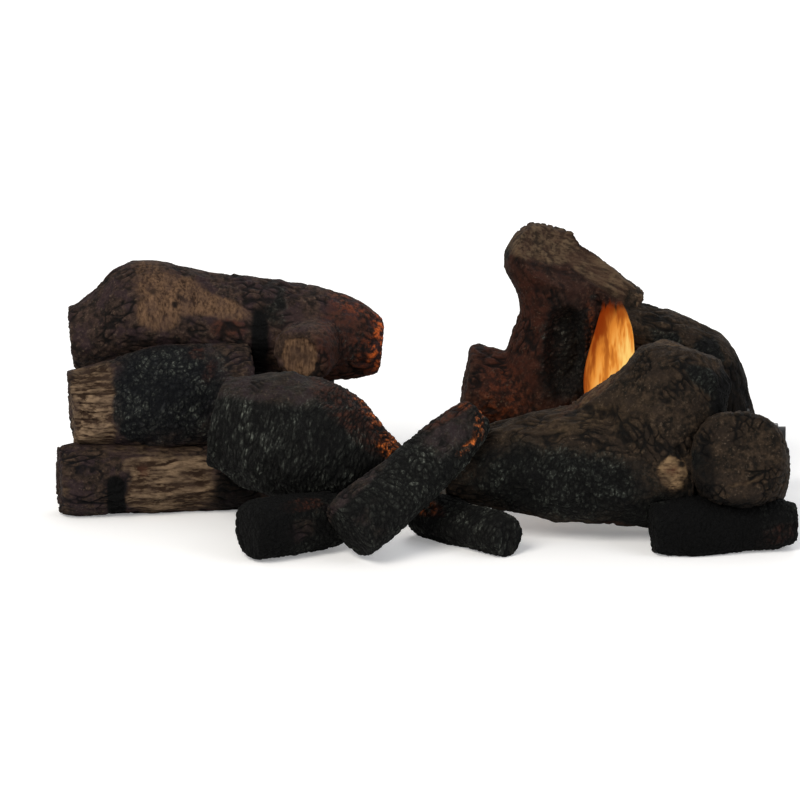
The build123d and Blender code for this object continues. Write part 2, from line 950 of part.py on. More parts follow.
# The manifold inside the tray's right end shares the gas between the two tubes
manifold_right = tray_right - tray_wall - bed_gap
manifold_left = manifold_right - manifold_length
tube_lines = [tray_y - tube_pitch / 2, tray_y + tube_pitch / 2]
with BuildPart() as manifold:
    with BuildSketch(facing_right(manifold_left, tray_y, burner_axis)):
        RectangleRounded(manifold_width, manifold_height, manifold_wall * 2)
    extrude(amount=manifold_length)
    with BuildSketch(facing_right(manifold_left + manifold_wall, tray_y, burner_axis)):
        Rectangle(manifold_width - manifold_wall * 2, manifold_height - manifold_wall * 2)
    extrude(amount=manifold_length - manifold_wall * 2, mode=Mode.SUBTRACT)
    for line in tube_lines:
        with BuildSketch(facing_right(manifold_left - overrun, line, burner_axis)):
            Circle(tube_radius - tube_wall)
        extrude(amount=overrun + manifold_wall * 2, mode=Mode.SUBTRACT)
    with BuildSketch(facing_left(manifold_right + overrun, tray_y, burner_axis)):
        Circle(mixer_radius - mixer_wall)
    extrude(amount=overrun + manifold_wall * 2, mode=Mode.SUBTRACT)
save("manifold", manifold)


def burner_tube(line):
    """One tube with its row of ports along the top, butted to the manifold."""
    left = manifold_left - tube_length
    port_count = round(tube_length / port_pitch) - closed_ports
    with BuildPart() as tube:
        with BuildSketch(facing_right(left, line, burner_axis)):
            Circle(tube_radius)
            Circle(tube_radius - tube_wall, mode=Mode.SUBTRACT)
        extrude(amount=tube_length)
        with BuildSketch(Plane((left + tube_length / 2, line, burner_axis))):
            with GridLocations(port_pitch, port_pitch, port_count, 1):
                Circle(port_radius)
        extrude(amount=tube_radius + overrun, mode=Mode.SUBTRACT)
    return tube


tube_front = burner_tube(tube_lines[0])
save("tube_front", tube_front)
tube_rear = burner_tube(tube_lines[1])
save("tube_rear", tube_rear)

# Pressed caps close the left ends of both tubes
with BuildPart() as tube_caps:
    for line in tube_lines:
        left = manifold_left - tube_length
        with BuildSketch(facing_right(left - cap_length, line, burner_axis)):
            Circle(tube_radius)
        extrude(amount=cap_length)
        with BuildSketch(facing_right(left, line, burner_axis)):
            Circle(tube_radius - tube_wall - bed_gap / 2)
        extrude(amount=cap_length)
save("tube_caps", tube_caps)

# The bed of sand fills the tray round the tubes, up to just under their tops
bed_left = tray_wall - tray_left + bed_gap
bed_length = manifold_left - bed_gap - bed_left
with BuildPart() as sand_bed:
    with BuildSketch(Plane((bed_left + bed_length / 2, tray_y, tray_floor))):
        Rectangle(bed_length, tray_width - (tray_wall + bed_gap) * 2)
    extrude(amount=bed_height)
    for line in tube_lines:
        left = manifold_left - tube_length - cap_length - bed_gap
        with BuildSketch(facing_right(left, line, burner_axis)):
            Circle(tube_radius + bed_gap)
            with Locations((0, tube_radius)):
                Rectangle((tube_radius + bed_gap) * 2, tube_radius * 2)
        extrude(amount=bed_length, mode=Mode.SUBTRACT)
save("sand_bed", sand_bed)

# The mixing tube carries gas and air from the orifice through the tray's wall
mixer_left = manifold_right
mixer_right = tray_right + mixer_length
with BuildPart() as mixing_tube:
    with BuildSketch(facing_right(mixer_left, tray_y, burner_axis)):
        Circle(mixer_radius)
        Circle(mixer_radius - mixer_wall, mode=Mode.SUBTRACT)
    extrude(amount=mixer_right - mixer_left)
    with BuildSketch(facing_right(mixer_right - mixer_wall, tray_y, burner_axis)):
        Circle(mixer_radius)
        Circle(orifice_radius, mode=Mode.SUBTRACT)
    extrude(amount=mixer_wall)
    window_middle = mixer_right - shutter_length / 2 - mixer_wall * 2
    for side in (-1, 1):
        with BuildSketch(
            Plane(origin=(window_middle, tray_y, burner_axis), z_dir=(0, side, 0), x_dir=(1, 0, 0))
        ):
            RectangleRounded(air_window_length, air_window_width, air_window_width / 4)
        extrude(amount=mixer_radius + overrun, mode=Mode.SUBTRACT)
save("mixing_tube", mixing_tube)

# The air shutter, a sleeve with matching windows and a thumb tab, turns on the mixing tube
shutter_left = window_middle - shutter_length / 2
shutter_bore = mixer_radius + shutter_gap
with BuildPart() as air_shutter:
    with BuildSketch(facing_right(shutter_left, tray_y, burner_axis)):
        Circle(shutter_bore + shutter_wall)
        Circle(shutter_bore, mode=Mode.SUBTRACT)
    extrude(amount=shutter_length)
    for side in (-1, 1):
        with BuildSketch(
            Plane(origin=(window_middle, tray_y, burner_axis), z_dir=(0, side, 0), x_dir=(1, 0, 0))
        ):
            RectangleRounded(air_window_length, air_window_width, air_window_width / 4)
        extrude(amount=shutter_bore + shutter_wall + overrun, mode=Mode.SUBTRACT)
    with BuildSketch(
        Plane((window_middle, tray_y, burner_axis + shutter_bore + shutter_wall / 2))
    ):
        Rectangle(shutter_tab_width, shutter_wall * 2)
    extrude(amount=shutter_tab_length)
save("air_shutter", air_shutter)

# The orifice screws into the valve and pokes into the mixing tube's end
orifice_left = valve_x - orifice_length
with BuildPart() as gas_orifice:
    with BuildSketch(facing_right(orifice_left, tray_y, burner_axis)):
        Circle(orifice_radius - bed_gap)
    extrude(amount=orifice_length)
    with BuildSketch(facing_right(valve_x - orifice_flange_length, tray_y, burner_axis)):
        RegularPolygon(orifice_radius * 1.25, 6)
    extrude(amount=orifice_flange_length)
    with BuildSketch(facing_right(orifice_left, tray_y, burner_axis)):
        Circle(orifice_bore)
    extrude(amount=orifice_length, mode=Mode.SUBTRACT)
save("gas_orifice", gas_orifice)

# The valve: a cast block with a bonnet for the spindle and a chamber for the plunger
valve_middle_z = valve_bottom + valve_height / 2
chamber_end = bonnet_end - bonnet_wall
plunger_front = chamber_end - stop_gap
plunger_back = plunger_front - plunger_length
chamber_back = plunger_back - spindle_travel - spindle_travel / 4
with BuildPart() as valve_body:
    with BuildSketch(facing_right(valve_x, tray_y, valve_middle_z)):
        RectangleRounded(valve_width, valve_height, valve_corner)
    extrude(amount=valve_length)
    with BuildSketch(facing_right(panel_x, tray_y, spindle_z)):
        Circle(bonnet_radius)
    extrude(amount=bonnet_length)
    with BuildSketch(facing_right(chamber_back, tray_y, spindle_z)):
        Circle(plunger_radius + spindle_gap)
    extrude(amount=chamber_end - chamber_back, mode=Mode.SUBTRACT)
    with BuildSketch(facing_right(chamber_end, tray_y, spindle_z)):
        Circle(spindle_radius + spindle_gap)
    extrude(amount=bonnet_wall + overrun, mode=Mode.SUBTRACT)
    with BuildSketch(facing_left(panel_x, tray_y, inlet_z)):
        Circle(inlet_bore)
    extrude(amount=valve_length / 2, mode=Mode.SUBTRACT)
    with BuildSketch(facing_right(valve_x, tray_y, burner_axis)):
        Circle(orifice_bore)
    extrude(amount=valve_length / 2, mode=Mode.SUBTRACT)
    add(panel_screw_room, mode=Mode.SUBTRACT)
save("valve_body", valve_body)

# The plunger slides in the chamber, and the spindle turns in the plunger's socket
with BuildPart() as valve_plunger:
    with BuildSketch(facing_right(plunger_back, tray_y, spindle_z)):
        Circle(plunger_radius)
    extrude(amount=plunger_length)
    with BuildSketch(facing_right(plunger_back + plunger_floor, tray_y, spindle_z)):
        Circle(spindle_radius + spindle_gap)
    extrude(amount=plunger_length, mode=Mode.SUBTRACT)
save("valve_plunger", valve_plunger)

spindle_back = plunger_back + plunger_floor + stop_gap
spindle_end = knob_start + knob_socket
with BuildPart() as valve_spindle:
    with BuildSketch(facing_right(spindle_back, tray_y, spindle_z)):
        Circle(spindle_radius)
    extrude(amount=spindle_end - spindle_back)
    chamfer(valve_spindle.faces().sort_by(Axis.X)[-1].edges(), spindle_radius / 8)
save("valve_spindle", valve_spindle)

# The knob has a raised grip bar across its face
with BuildPart() as control_knob:
    with BuildSketch(facing_right(knob_start, tray_y, spindle_z)):
        Circle(knob_radius)
    extrude(amount=knob_length)
    fillet(control_knob.faces().sort_by(Axis.X)[-1].edges(), knob_corner)
    with BuildSketch(facing_right(knob_start + knob_length, tray_y, spindle_z)):
        SlotOverall((knob_radius - knob_corner * 2) * 2, knob_grip_width, rotation=90)
    extrude(amount=knob_grip_height)
    with BuildSketch(facing_right(knob_start, tray_y, spindle_z)):
        Circle(spindle_radius + stop_gap / 2)
    extrude(amount=knob_socket + stop_gap, mode=Mode.SUBTRACT)
save("control_knob", control_knob)

# The inlet fitting's flare thread faces right for the supply line
with BuildPart() as gas_inlet:
    with BuildSketch(facing_right(panel_x, tray_y, inlet_z)):
        RegularPolygon(inlet_hex, 6, major_radius=False)
    extrude(amount=inlet_hex_length + panel_thickness)
    inlet_face = panel_x + panel_thickness + inlet_hex_length
    with BuildSketch(facing_right(inlet_face, tray_y, inlet_z)):
        Circle(inlet_radius)
    extrude(amount=inlet_length)
    with BuildSketch(facing_right(panel_x, tray_y, inlet_z)):
        Circle(inlet_bore)
    extrude(amount=inlet_length * 3, mode=Mode.SUBTRACT)
save("gas_inlet", gas_inlet)

# The panel stands on the plate and carries the valve and the igniter
panel_middle_z = plate_top + panel_height / 2
with BuildPart() as valve_panel:
    with BuildSketch(facing_right(panel_x, panel_y, panel_middle_z)):
        RectangleRounded(panel_width, panel_height, panel_thickness)
    extrude(amount=panel_thickness)
    with BuildSketch(
        Plane((panel_x + (panel_foot + panel_thickness) / 2, panel_y, plate_top))
    ):
        Rectangle(panel_foot + panel_thickness, panel_width)
    extrude(amount=panel_thickness)
    for reach, height, radius in (
        (tray_y, spindle_z, bonnet_radius + seat_gap),
        (tray_y, inlet_z, inlet_hex / cos(radians(30)) + seat_gap),
        (igniter_y, igniter_lift, igniter_radius + seat_gap),
    ):
        with BuildSketch(facing_right(panel_x, reach, height)):
            Circle(radius)
        extrude(amount=panel_thickness, mode=Mode.SUBTRACT)
    add(panel_screw_room, mode=Mode.SUBTRACT)
save("valve_panel", valve_panel)

# Slotted pan head screws hold the panel to the plate and the valve to the panel
panel_screw_shanks = screw_shanks(screw_radius)
with BuildPart() as panel_screws:
    add(panel_screw_shanks)
    for spot in foot_screw_places:
        with BuildSketch(Plane(spot)):
            Circle(screw_head_radius)
        extrude(amount=screw_head_height)
        with BuildSketch(Plane(spot + Vector(0, 0, screw_head_height))):
            Rectangle(screw_head_radius * 3, screw_radius / 2)
        extrude(amount=-screw_head_height / 2, mode=Mode.SUBTRACT)
    for spot in valve_screw_places:
        with BuildSketch(facing_right(*spot)):
            Circle(screw_head_radius)
        extrude(amount=screw_head_height)
        with BuildSketch(facing_right(spot.X + screw_head_height, spot.Y, spot.Z)):
            Rectangle(screw_head_radius * 3, screw_radius / 2)
        extrude(amount=-screw_head_height / 2, mode=Mode.SUBTRACT)
save("panel_screws", panel_screws)

# The igniter: a body clamped through the panel by its nut, and a button that is pushed in
igniter_left = panel_x + panel_thickness - igniter_length
igniter_face = panel_x + panel_thickness + igniter_collar_length
button_back = igniter_face - button_socket
with BuildPart() as igniter_body:
    with BuildSketch(facing_right(igniter_left, igniter_y, igniter_lift)):
        Circle(igniter_radius)
    extrude(amount=igniter_length)
    with BuildSketch(facing_right(panel_x + panel_thickness, igniter_y, igniter_lift)):
        Circle(igniter_collar_radius)
    extrude(amount=igniter_collar_length)
    with BuildSketch(facing_right(button_back - button_travel - stop_gap * 2, igniter_y, igniter_lift)):
        Circle(button_radius + button_gap)
    extrude(amount=igniter_length, mode=Mode.SUBTRACT)
save("igniter_body", igniter_body)

with BuildPart() as igniter_nut:
    with BuildSketch(facing_left(panel_x, igniter_y, igniter_lift)):
        RegularPolygon(igniter_nut_radius, 6)
        Circle(igniter_radius + stop_gap, mode=Mode.SUBTRACT)
    extrude(amount=igniter_nut_length)
save("igniter_nut", igniter_nut)

with BuildPart() as igniter_button:
    with BuildSketch(facing_right(button_back, igniter_y, igniter_lift)):
        Circle(button_radius)
    extrude(amount=button_socket + button_proud)
    fillet(igniter_button.faces().sort_by(Axis.X)[-1].edges(), button_corner)
save("igniter_button", igniter_button)

# The pilot stands in front of the tray: a bracket with burner, thermocouple and electrode
pilot_places = [
    (pilot_x - pilot_pitch, pilot_y),
    (pilot_x, pilot_y),
    (pilot_x + pilot_pitch, pilot_y),
]
pilot_stems = (pilot_burner_radius, thermocouple_radius, insulator_radius)
with BuildPart() as pilot_bracket:
    with BuildSketch(facing_front(pilot_x, bracket_y, bracket_z - bracket_drop / 2)):
        Rectangle(bracket_length, bracket_drop)
    extrude(amount=bracket_thickness)
    with BuildSketch(Plane((pilot_x, bracket_y - bracket_reach / 2, bracket_z))):
        Rectangle(bracket_length, bracket_reach)
    extrude(amount=-bracket_thickness)
    for place_xy, stem in zip(pilot_places, pilot_stems):
        with BuildSketch(Plane((place_xy[0], place_xy[1], bracket_z))):
            Circle(stem + stop_gap)
        extrude(amount=-bracket_thickness, mode=Mode.SUBTRACT)
save("pilot_bracket", pilot_bracket)

pilot_burner_z = bracket_z - bracket_thickness - pilot_nut_length
with BuildPart() as pilot_burner:
    with BuildSketch(Plane((*pilot_places[0], pilot_burner_z))):
        Circle(pilot_burner_radius)
    extrude(amount=pilot_burner_length)
save("pilot_burner", pilot_burner)

hood_z = pilot_burner_z + pilot_burner_length
with BuildPart() as pilot_hood:
    with BuildSketch(Plane((*pilot_places[0], hood_z))):
        Circle(pilot_hood_radius)
    extrude(amount=pilot_hood_length)
    with BuildSketch(Plane((*pilot_places[0], hood_z + pilot_hood_wall))):
        Circle(pilot_hood_radius - pilot_hood_wall)
    extrude(amount=pilot_hood_length - pilot_hood_wall * 2, mode=Mode.SUBTRACT)
    for z_dir in ((0, 1, 0), (1, 0, 0)):
        with BuildSketch(
            Plane(
                origin=(*pilot_places[0], hood_z + pilot_hood_length / 2),
                z_dir=z_dir,
            )
        ):
            Rectangle(pilot_window, pilot_window)
        extrude(amount=pilot_hood_radius + overrun, mode=Mode.SUBTRACT)
save("pilot_hood", pilot_hood)

with BuildPart() as thermocouple:
    with BuildSketch(Plane((*pilot_places[1], pilot_burner_z))):
        Circle(thermocouple_radius)
    extrude(amount=thermocouple_length)
    fillet(thermocouple.faces().sort_by(Axis.Z)[-1].edges(), thermocouple_radius / 2)
save("thermocouple", thermocouple)

with BuildPart() as electrode_insulator:
    with BuildSketch(Plane((*pilot_places[2], pilot_burner_z))):
        Circle(insulator_radius)
        Circle(electrode_radius + stop_gap, mode=Mode.SUBTRACT)
    extrude(amount=insulator_length)
save("electrode_insulator", electrode_insulator)

with BuildPart() as electrode:
    with BuildSketch(Plane((*pilot_places[2], pilot_burner_z))):
        Circle(electrode_radius)
    extrude(amount=electrode_length)
save("electrode", electrode)

with BuildPart() as pilot_nuts:
    for place_xy, stem in zip(pilot_places, pilot_stems):
        with BuildSketch(Plane((*place_xy, bracket_z - bracket_thickness))):
            RegularPolygon(pilot_nut_radius + stem / 3, 6)
            Circle(stem + stop_gap, mode=Mode.SUBTRACT)
        extrude(amount=-pilot_nut_length / 2)
save("pilot_nuts", pilot_nuts)


def lead(route, radius):
    """A lead along straight runs joined by tangent arcs, each as large as its runs allow."""
    points = [Vector(*point) for point in route]
    radii = []
    for before, corner, after in zip(points, points[1:], points[2:]):
        shorter = min((corner - before).length, (after - corner).length)
        turn = (corner - before).get_angle(after - corner)
        radii.append(bend_share * shorter / tan(radians(turn) / 2))
    with BuildPart() as tube:
        with BuildLine() as path:
            FilletPolyline(*points, radius=radii)
        with BuildSketch(Plane(points[0], z_dir=points[1] - points[0])):
            Circle(radius)
        sweep(path=path.line)
    return tube


# The routes of the three leads, from under the pilot to the valve and the igniter
pilot_tube_route = [
    (pilot_places[0][0], pilot_y, pilot_burner_z),
    (pilot_places[0][0], pilot_y, pilot_burner_z - 11),
    (pilot_places[0][0] + 6, pilot_y - 8, pilot_burner_z - 20),
    (tray_right - 12, pilot_y - 9, 13),
    (tray_right + 10, pilot_y - 6, 12),
    (tray_right + 26, pilot_y + 8, 17),
    (tray_right + 38, tray_y - 16, 29),
    (valve_x, tray_y - 16, 29),
]
pilot_tube = lead(pilot_tube_route, pilot_tube_radius)
save("pilot_tube", pilot_tube)

thermocouple_route = [
    (pilot_x, pilot_y, pilot_burner_z),
    (pilot_x, pilot_y, pilot_burner_z - 9),
    (pilot_x + 8, pilot_y - 3, pilot_burner_z - 16),
    (tray_right, pilot_y - 3, 21),
    (tray_right + 16, pilot_y + 1, tray_height),
    (tray_right + 32, tray_y - 20, 36),
    (tray_right + 40, tray_y - 12, 45),
    (valve_x, tray_y - 12, 45),
]
thermocouple_lead = lead(thermocouple_route, lead_radius)
save("thermocouple_lead", thermocouple_lead)

igniter_route = [
    (pilot_x + pilot_pitch, pilot_y, pilot_burner_z),
    (pilot_x + pilot_pitch, pilot_y, pilot_burner_z - 8),
    (pilot_x + pilot_pitch + 8, pilot_y + 1, pilot_burner_z - 12),
    (tray_right + 16, pilot_y + 2, 40),
    (tray_right + 32, igniter_y + 1, 53),
    (tray_right + 45, igniter_y, igniter_lift),
    (igniter_left, igniter_y, igniter_lift),
]
ignition_wire = lead(igniter_route, wire_radius)
save("ignition_wire", ignition_wire)

# Ember chunks lie along both tubes, each turned and sized a little differently
ember_bed = burner_axis + tube_radius + bed_gap
ember_count = int(tube_length / ember_pitch)
with BuildPart() as ember_chunks:
    for row, line in enumerate(tube_lines):
        for column in range(ember_count):
            count = row * ember_count + column
            size = ember_size * (0.8 + 0.2 * cos(count * 2.4))
            ember_x = bed_left + ember_pitch * (column + 0.75 + 0.1 * sin(count * 1.7))
            with BuildSketch(Plane((ember_x, line, ember_bed))):
                RegularPolygon(size, 5, rotation=count * 37)
            extrude(amount=size * 0.8, taper=18)
save("ember_chunks", ember_chunks)
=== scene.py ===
"""The looks of a gas log set: clay logs, flames, embers and burner metal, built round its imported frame."""

import itertools
import logging
import math
from dataclasses import dataclass
from enum import Enum

import bpy
import numpy as np
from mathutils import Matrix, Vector


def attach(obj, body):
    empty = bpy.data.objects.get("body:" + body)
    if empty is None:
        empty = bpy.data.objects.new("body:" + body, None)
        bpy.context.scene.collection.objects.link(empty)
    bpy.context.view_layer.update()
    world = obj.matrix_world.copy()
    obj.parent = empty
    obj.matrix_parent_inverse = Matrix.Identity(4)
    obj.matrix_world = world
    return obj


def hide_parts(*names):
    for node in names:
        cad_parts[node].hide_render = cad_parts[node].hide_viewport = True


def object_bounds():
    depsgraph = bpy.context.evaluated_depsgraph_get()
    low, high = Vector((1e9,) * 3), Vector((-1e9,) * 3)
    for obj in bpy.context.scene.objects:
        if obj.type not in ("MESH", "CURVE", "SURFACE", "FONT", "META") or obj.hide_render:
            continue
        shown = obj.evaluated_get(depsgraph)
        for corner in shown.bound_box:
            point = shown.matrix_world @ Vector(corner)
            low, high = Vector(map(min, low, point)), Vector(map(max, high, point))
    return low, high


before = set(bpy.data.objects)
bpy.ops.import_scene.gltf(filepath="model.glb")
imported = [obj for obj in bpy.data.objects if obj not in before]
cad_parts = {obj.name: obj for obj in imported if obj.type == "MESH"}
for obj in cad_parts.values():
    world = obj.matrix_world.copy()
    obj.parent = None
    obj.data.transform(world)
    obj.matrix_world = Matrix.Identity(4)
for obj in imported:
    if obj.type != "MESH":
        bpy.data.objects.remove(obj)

CAD_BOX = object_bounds()
LOG = logging.getLogger("gas_log_set")
MM = 0.001

Array = np.ndarray
Faces = list[tuple[int, ...]]
Triple = tuple[float, float, float]

# The front view that places the marks on the logs: 800 units across, 0.95 mm each, 15 degrees down
VIEW_UNIT = 0.95
VIEW_MIDDLE = 424.5
VIEW_FLOOR = 562.0
VIEW_FRONT = 172.5
VIEW_TILT = 15.0
TOWARDS_VIEW = np.array((0.0, -math.cos(math.radians(VIEW_TILT)), math.sin(math.radians(VIEW_TILT))))


# Patterns


def scatter(cells: Array, seed: int) -> Array:
    """Gives each cell of a lattice a number from 0 to 1 by mixing its three whole coordinates.

    Args:
        cells: Whole-number coordinates, one row each.
        seed: Picks another set of numbers.

    Returns:
        One number for each row.
    """
    parts = cells.astype(np.int64).astype(np.uint32)
    mixed = (
        parts[:, 0] * np.uint32(374761393)
        + parts[:, 1] * np.uint32(668265263)
        + parts[:, 2] * np.uint32(2246822519)
        + np.uint32((seed * 2654435761 + 97) % 2**32)
    )
    mixed = (mixed ^ (mixed >> np.uint32(13))) * np.uint32(1274126177)
    mixed = mixed ^ (mixed >> np.uint32(16))
    return (mixed & np.uint32(0xFFFFFF)) / float(0xFFFFFF)


def ease(values: Array) -> Array:
    """Turns 0 to 1 into a soft step, three squares less two cubes."""
    held = np.clip(values, 0.0, 1.0)
    return held * held * (3.0 - 2.0 * held)


def soft_noise(points: Array, size: float | tuple[float, ...], seed: int) -> Array:
    """Soft noise: scattered numbers at the corners of a lattice, blended inside each cell.

    Args:
        points: Places, one row each.
        size: The lattice's cell size, one number or one for each axis.
        seed: Picks the numbers.

    Returns:
        A number from -1 to 1 for each place.
    """
    scaled = points / np.array(size, float)
    base = np.floor(scaled)
    part = ease(scaled - base)
    total = np.zeros(len(points))
    for corner in itertools.product((0, 1), repeat=3):
        share = np.prod(np.where(corner, part, 1.0 - part), axis=1)
        total += share * scatter(base + corner, seed)
    return total * 2.0 - 1.0


def rough_noise(points: Array, size: float | tuple[float, ...], seed: int, layers: int = 3) -> Array:
    """Soft noise in layers, each half as large and half as strong as the last."""
    total = np.zeros(len(points))
    strength = 0.0
    for layer in range(layers):
        total += soft_noise(points, np.array(size, float) / 2**layer, seed + layer * 11) / 2**layer
        strength += 1.0 / 2**layer
    return total / strength


def cell_pattern(points: Array, size: tuple[float, ...], seed: int) -> tuple[Array, Array]:
    """Cells round scattered seeds, as in dried mud: the gap from the nearest to the next is 0 at a crack.

    Args:
        points: Places, one row each.
        size: The mean cell size along each axis.
        seed: Picks the pattern.

    Returns:
        The gap at each place, and its cell's own number from 0 to 1.
    """
    scaled = points / np.array(size, float)
    base = np.floor(scaled)
    near = np.full(len(points), 9.0)
    second = np.full(len(points), 9.0)
    tone = np.zeros(len(points))
    for step in itertools.product((-1, 0, 1), repeat=3):
        cell = base + step
        spot = cell + np.stack([scatter(cell, seed + axis) for axis in range(3)], axis=1)
        away = np.linalg.norm(scaled - spot, axis=1)
        closer = away < near
        second = np.where(closer, near, np.minimum(second, away))
        tone = np.where(closer, scatter(cell, seed + 5), tone)
        near = np.where(closer, away, near)
    return second - near, tone


# Mesh helpers


def mesh_piece(name: str, points: Array, faces: list | Array, smooth: bool = True) -> bpy.types.Object:
    """Makes an object from points in metres and faces, at the origin and unturned."""
    mesh = bpy.data.meshes.new(name)
    mesh.from_pydata(points.tolist(), [], faces.tolist() if isinstance(faces, np.ndarray) else faces)
    mesh.validate()
    mesh.polygons.foreach_set("use_smooth", np.full(len(mesh.polygons), smooth))
    mesh.update()
    piece = bpy.data.objects.new(name, mesh)
    bpy.context.scene.collection.objects.link(piece)
    return piece


def grid_faces(rows: int, columns: int) -> Faces:
    """Quads of a grid whose columns close into rings, its points numbered row by row."""
    row, column = np.meshgrid(np.arange(rows - 1), np.arange(columns), indexing="ij")
    here = row * columns + column
    right = row * columns + (column + 1) % columns
    quads = np.stack([here, right, right + columns, here + columns], axis=-1)
    return [tuple(quad) for quad in quads.reshape(-1, 4).tolist()]


def closed_faces(rows: int, columns: int) -> Faces:
    """Faces of a ring grid closed by a fan at each end, whose middle points follow the grid's own."""
    last, first_middle = (rows - 1) * columns, rows * columns
    faces = grid_faces(rows, columns)
    faces += [((i + 1) % columns, i, first_middle) for i in range(columns)]
    faces += [(last + i, last + (i + 1) % columns, first_middle + 1) for i in range(columns)]
    return faces


def join_parts(parts: list[tuple[Array, Faces]]) -> tuple[Array, Faces]:
    """Joins pairs of points and faces into one pair, with the faces renumbered."""
    starts = np.cumsum([0] + [len(points) for points, _ in parts]).tolist()
    shifted = [tuple(i + start for i in face) for (_, group), start in zip(parts, starts) for face in group]
    return np.vstack([points for points, _ in parts]), shifted


def set_number(piece: bpy.types.Object, name: str, values: Array) -> None:
    """Keeps one number for each point of the mesh under a name that a finish can read."""
    layer = piece.data.attributes.new(name, "FLOAT", "POINT")
    layer.data.foreach_set("value", values.astype(np.float32))


def read_points(mesh: bpy.types.Mesh) -> tuple[Array, Array]:
    """The mesh's points and their normals, as two arrays."""
    count = len(mesh.vertices)
    points = np.empty(count * 3, np.float32)
    normals = np.empty(count * 3, np.float32)
    mesh.vertices.foreach_get("co", points)
    mesh.vertex_normals.foreach_get("vector", normals)
    return points.reshape(-1, 3).astype(float), normals.reshape(-1, 3).astype(float)


# Finishes


def linear(colour: str) -> tuple[float, float, float, float]:
    """Turns a sRGB hex value into the linear colour that a shader takes."""
    levels = [int(colour[place : place + 2], 16) / 255.0 for place in (1, 3, 5)]
    return (*[v / 12.92 if v <= 0.04045 else ((v + 0.055) / 1.055) ** 2.4 for v in levels], 1.0)


def add_node(
    tree: bpy.types.NodeTree, kind: str, settings: dict | None = None, **links: object
) -> bpy.types.Node:
    """Adds a node, sets its properties, and fills or links its inputs.

    Args:
        tree: The material's node tree.
        kind: The node's Blender type, without ShaderNode.
        settings: Properties of the node, by name.
        links: Inputs by name or by number as i0, i1, each a socket or a value.

    Returns:
        The new node.
    """
    node = tree.nodes.new("ShaderNode" + kind)
    for key, value in (settings or {}).items():
        setattr(node, key, value)
    for key, value in links.items():
        place = int(key[1:]) if key[1:].isdigit() else key.replace("_", " ")
        socket = node.inputs[place]
        if isinstance(value, bpy.types.NodeSocket):
            tree.links.new(value, socket)
        else:
            socket.default_value = value
    return node


class Shades:
    """Writes one material's nodes in few words: every method returns an output socket."""

    def __init__(self, name: str) -> None:
        """Starts an empty material with its principled shader and output."""
        self.material = bpy.data.materials.new(name)
        self.material.use_nodes = True
        self.tree = self.material.node_tree
        self.tree.nodes.clear()
        self.shader = add_node(self.tree, "BsdfPrincipled")
        self.output = add_node(self.tree, "OutputMaterial", Surface=self.shader.outputs[0])
        self.place = add_node(self.tree, "TexCoord").outputs["Object"]

    def number(self, name: str) -> bpy.types.NodeSocket:
        """The number that the mesh keeps under this name."""
        return add_node(self.tree, "Attribute", {"attribute_name": name}).outputs["Fac"]

    def noise(self, size: float, detail: float = 3.0, turn: tuple | None = None) -> bpy.types.NodeSocket:
        """Noise whose grains are this many millimetres across, stretched by the axis factors in turn."""
        place = self.place
        if turn is not None:
            place = add_node(self.tree, "Mapping", i0=place, Scale=turn).outputs[0]
        node = add_node(self.tree, "TexNoise", i2=1.0 / (size * MM), Detail=detail, Roughness=0.6)
        self.tree.links.new(place, node.inputs["Vector"])
        return node.outputs[0]

    def cracks(self, size: float) -> bpy.types.NodeSocket:
        """Distance to the nearest crack of a cell pattern this many millimetres across."""
        settings = {"feature": "DISTANCE_TO_EDGE"}
        scale = 1.0 / (size * MM)
        return add_node(self.tree, "TexVoronoi", settings, Vector=self.place, Scale=scale).outputs[0]

    def band(
        self, value: object, low: float, high: float, out_low: float = 0.0, out_high: float = 1.0
    ) -> bpy.types.NodeSocket:
        """Maps low to high onto the out range, softly, and holds it there."""
        settings = {"interpolation_type": "SMOOTHSTEP"}
        ends = {"i1": low, "i2": high, "i3": out_low, "i4": out_high}
        return add_node(self.tree, "MapRange", settings, i0=value, **ends).outputs[0]

    def sum(self, kind: str, first: object, second: object) -> bpy.types.NodeSocket:
        """One sum of two numbers, held between 0 and 1."""
        settings = {"operation": kind, "use_clamp": True}
        return add_node(self.tree, "Math", settings, i0=first, i1=second).outputs[0]

    def mix(self, share: object, first: object, second: object) -> bpy.types.NodeSocket:
        """Mixes two colours, each a hex value or a socket."""
        first, second = (linear(c) if isinstance(c, str) else c for c in (first, second))
        return add_node(self.tree, "Mix", {"data_type": "RGBA"}, i0=share, i6=first, i7=second).outputs[2]

    def bump(self, height: object, depth: float, after: object = None) -> bpy.types.NodeSocket:
        """A bump of this depth in millimetres, over an earlier one if given."""
        node = add_node(self.tree, "Bump", Height=height, Distance=depth * MM, Strength=1.0)
        if after is not None:
            self.tree.links.new(after, node.inputs["Normal"])
        return node.outputs[0]

    def set(self, **values: object) -> bpy.types.Material:
        """Sets or links the principled shader's inputs and returns the material."""
        for key, value in values.items():
            socket = self.shader.inputs[key.replace("_", " ")]
            if isinstance(value, bpy.types.NodeSocket):
                self.tree.links.new(value, socket)
            else:
                socket.default_value = value
        return self.material


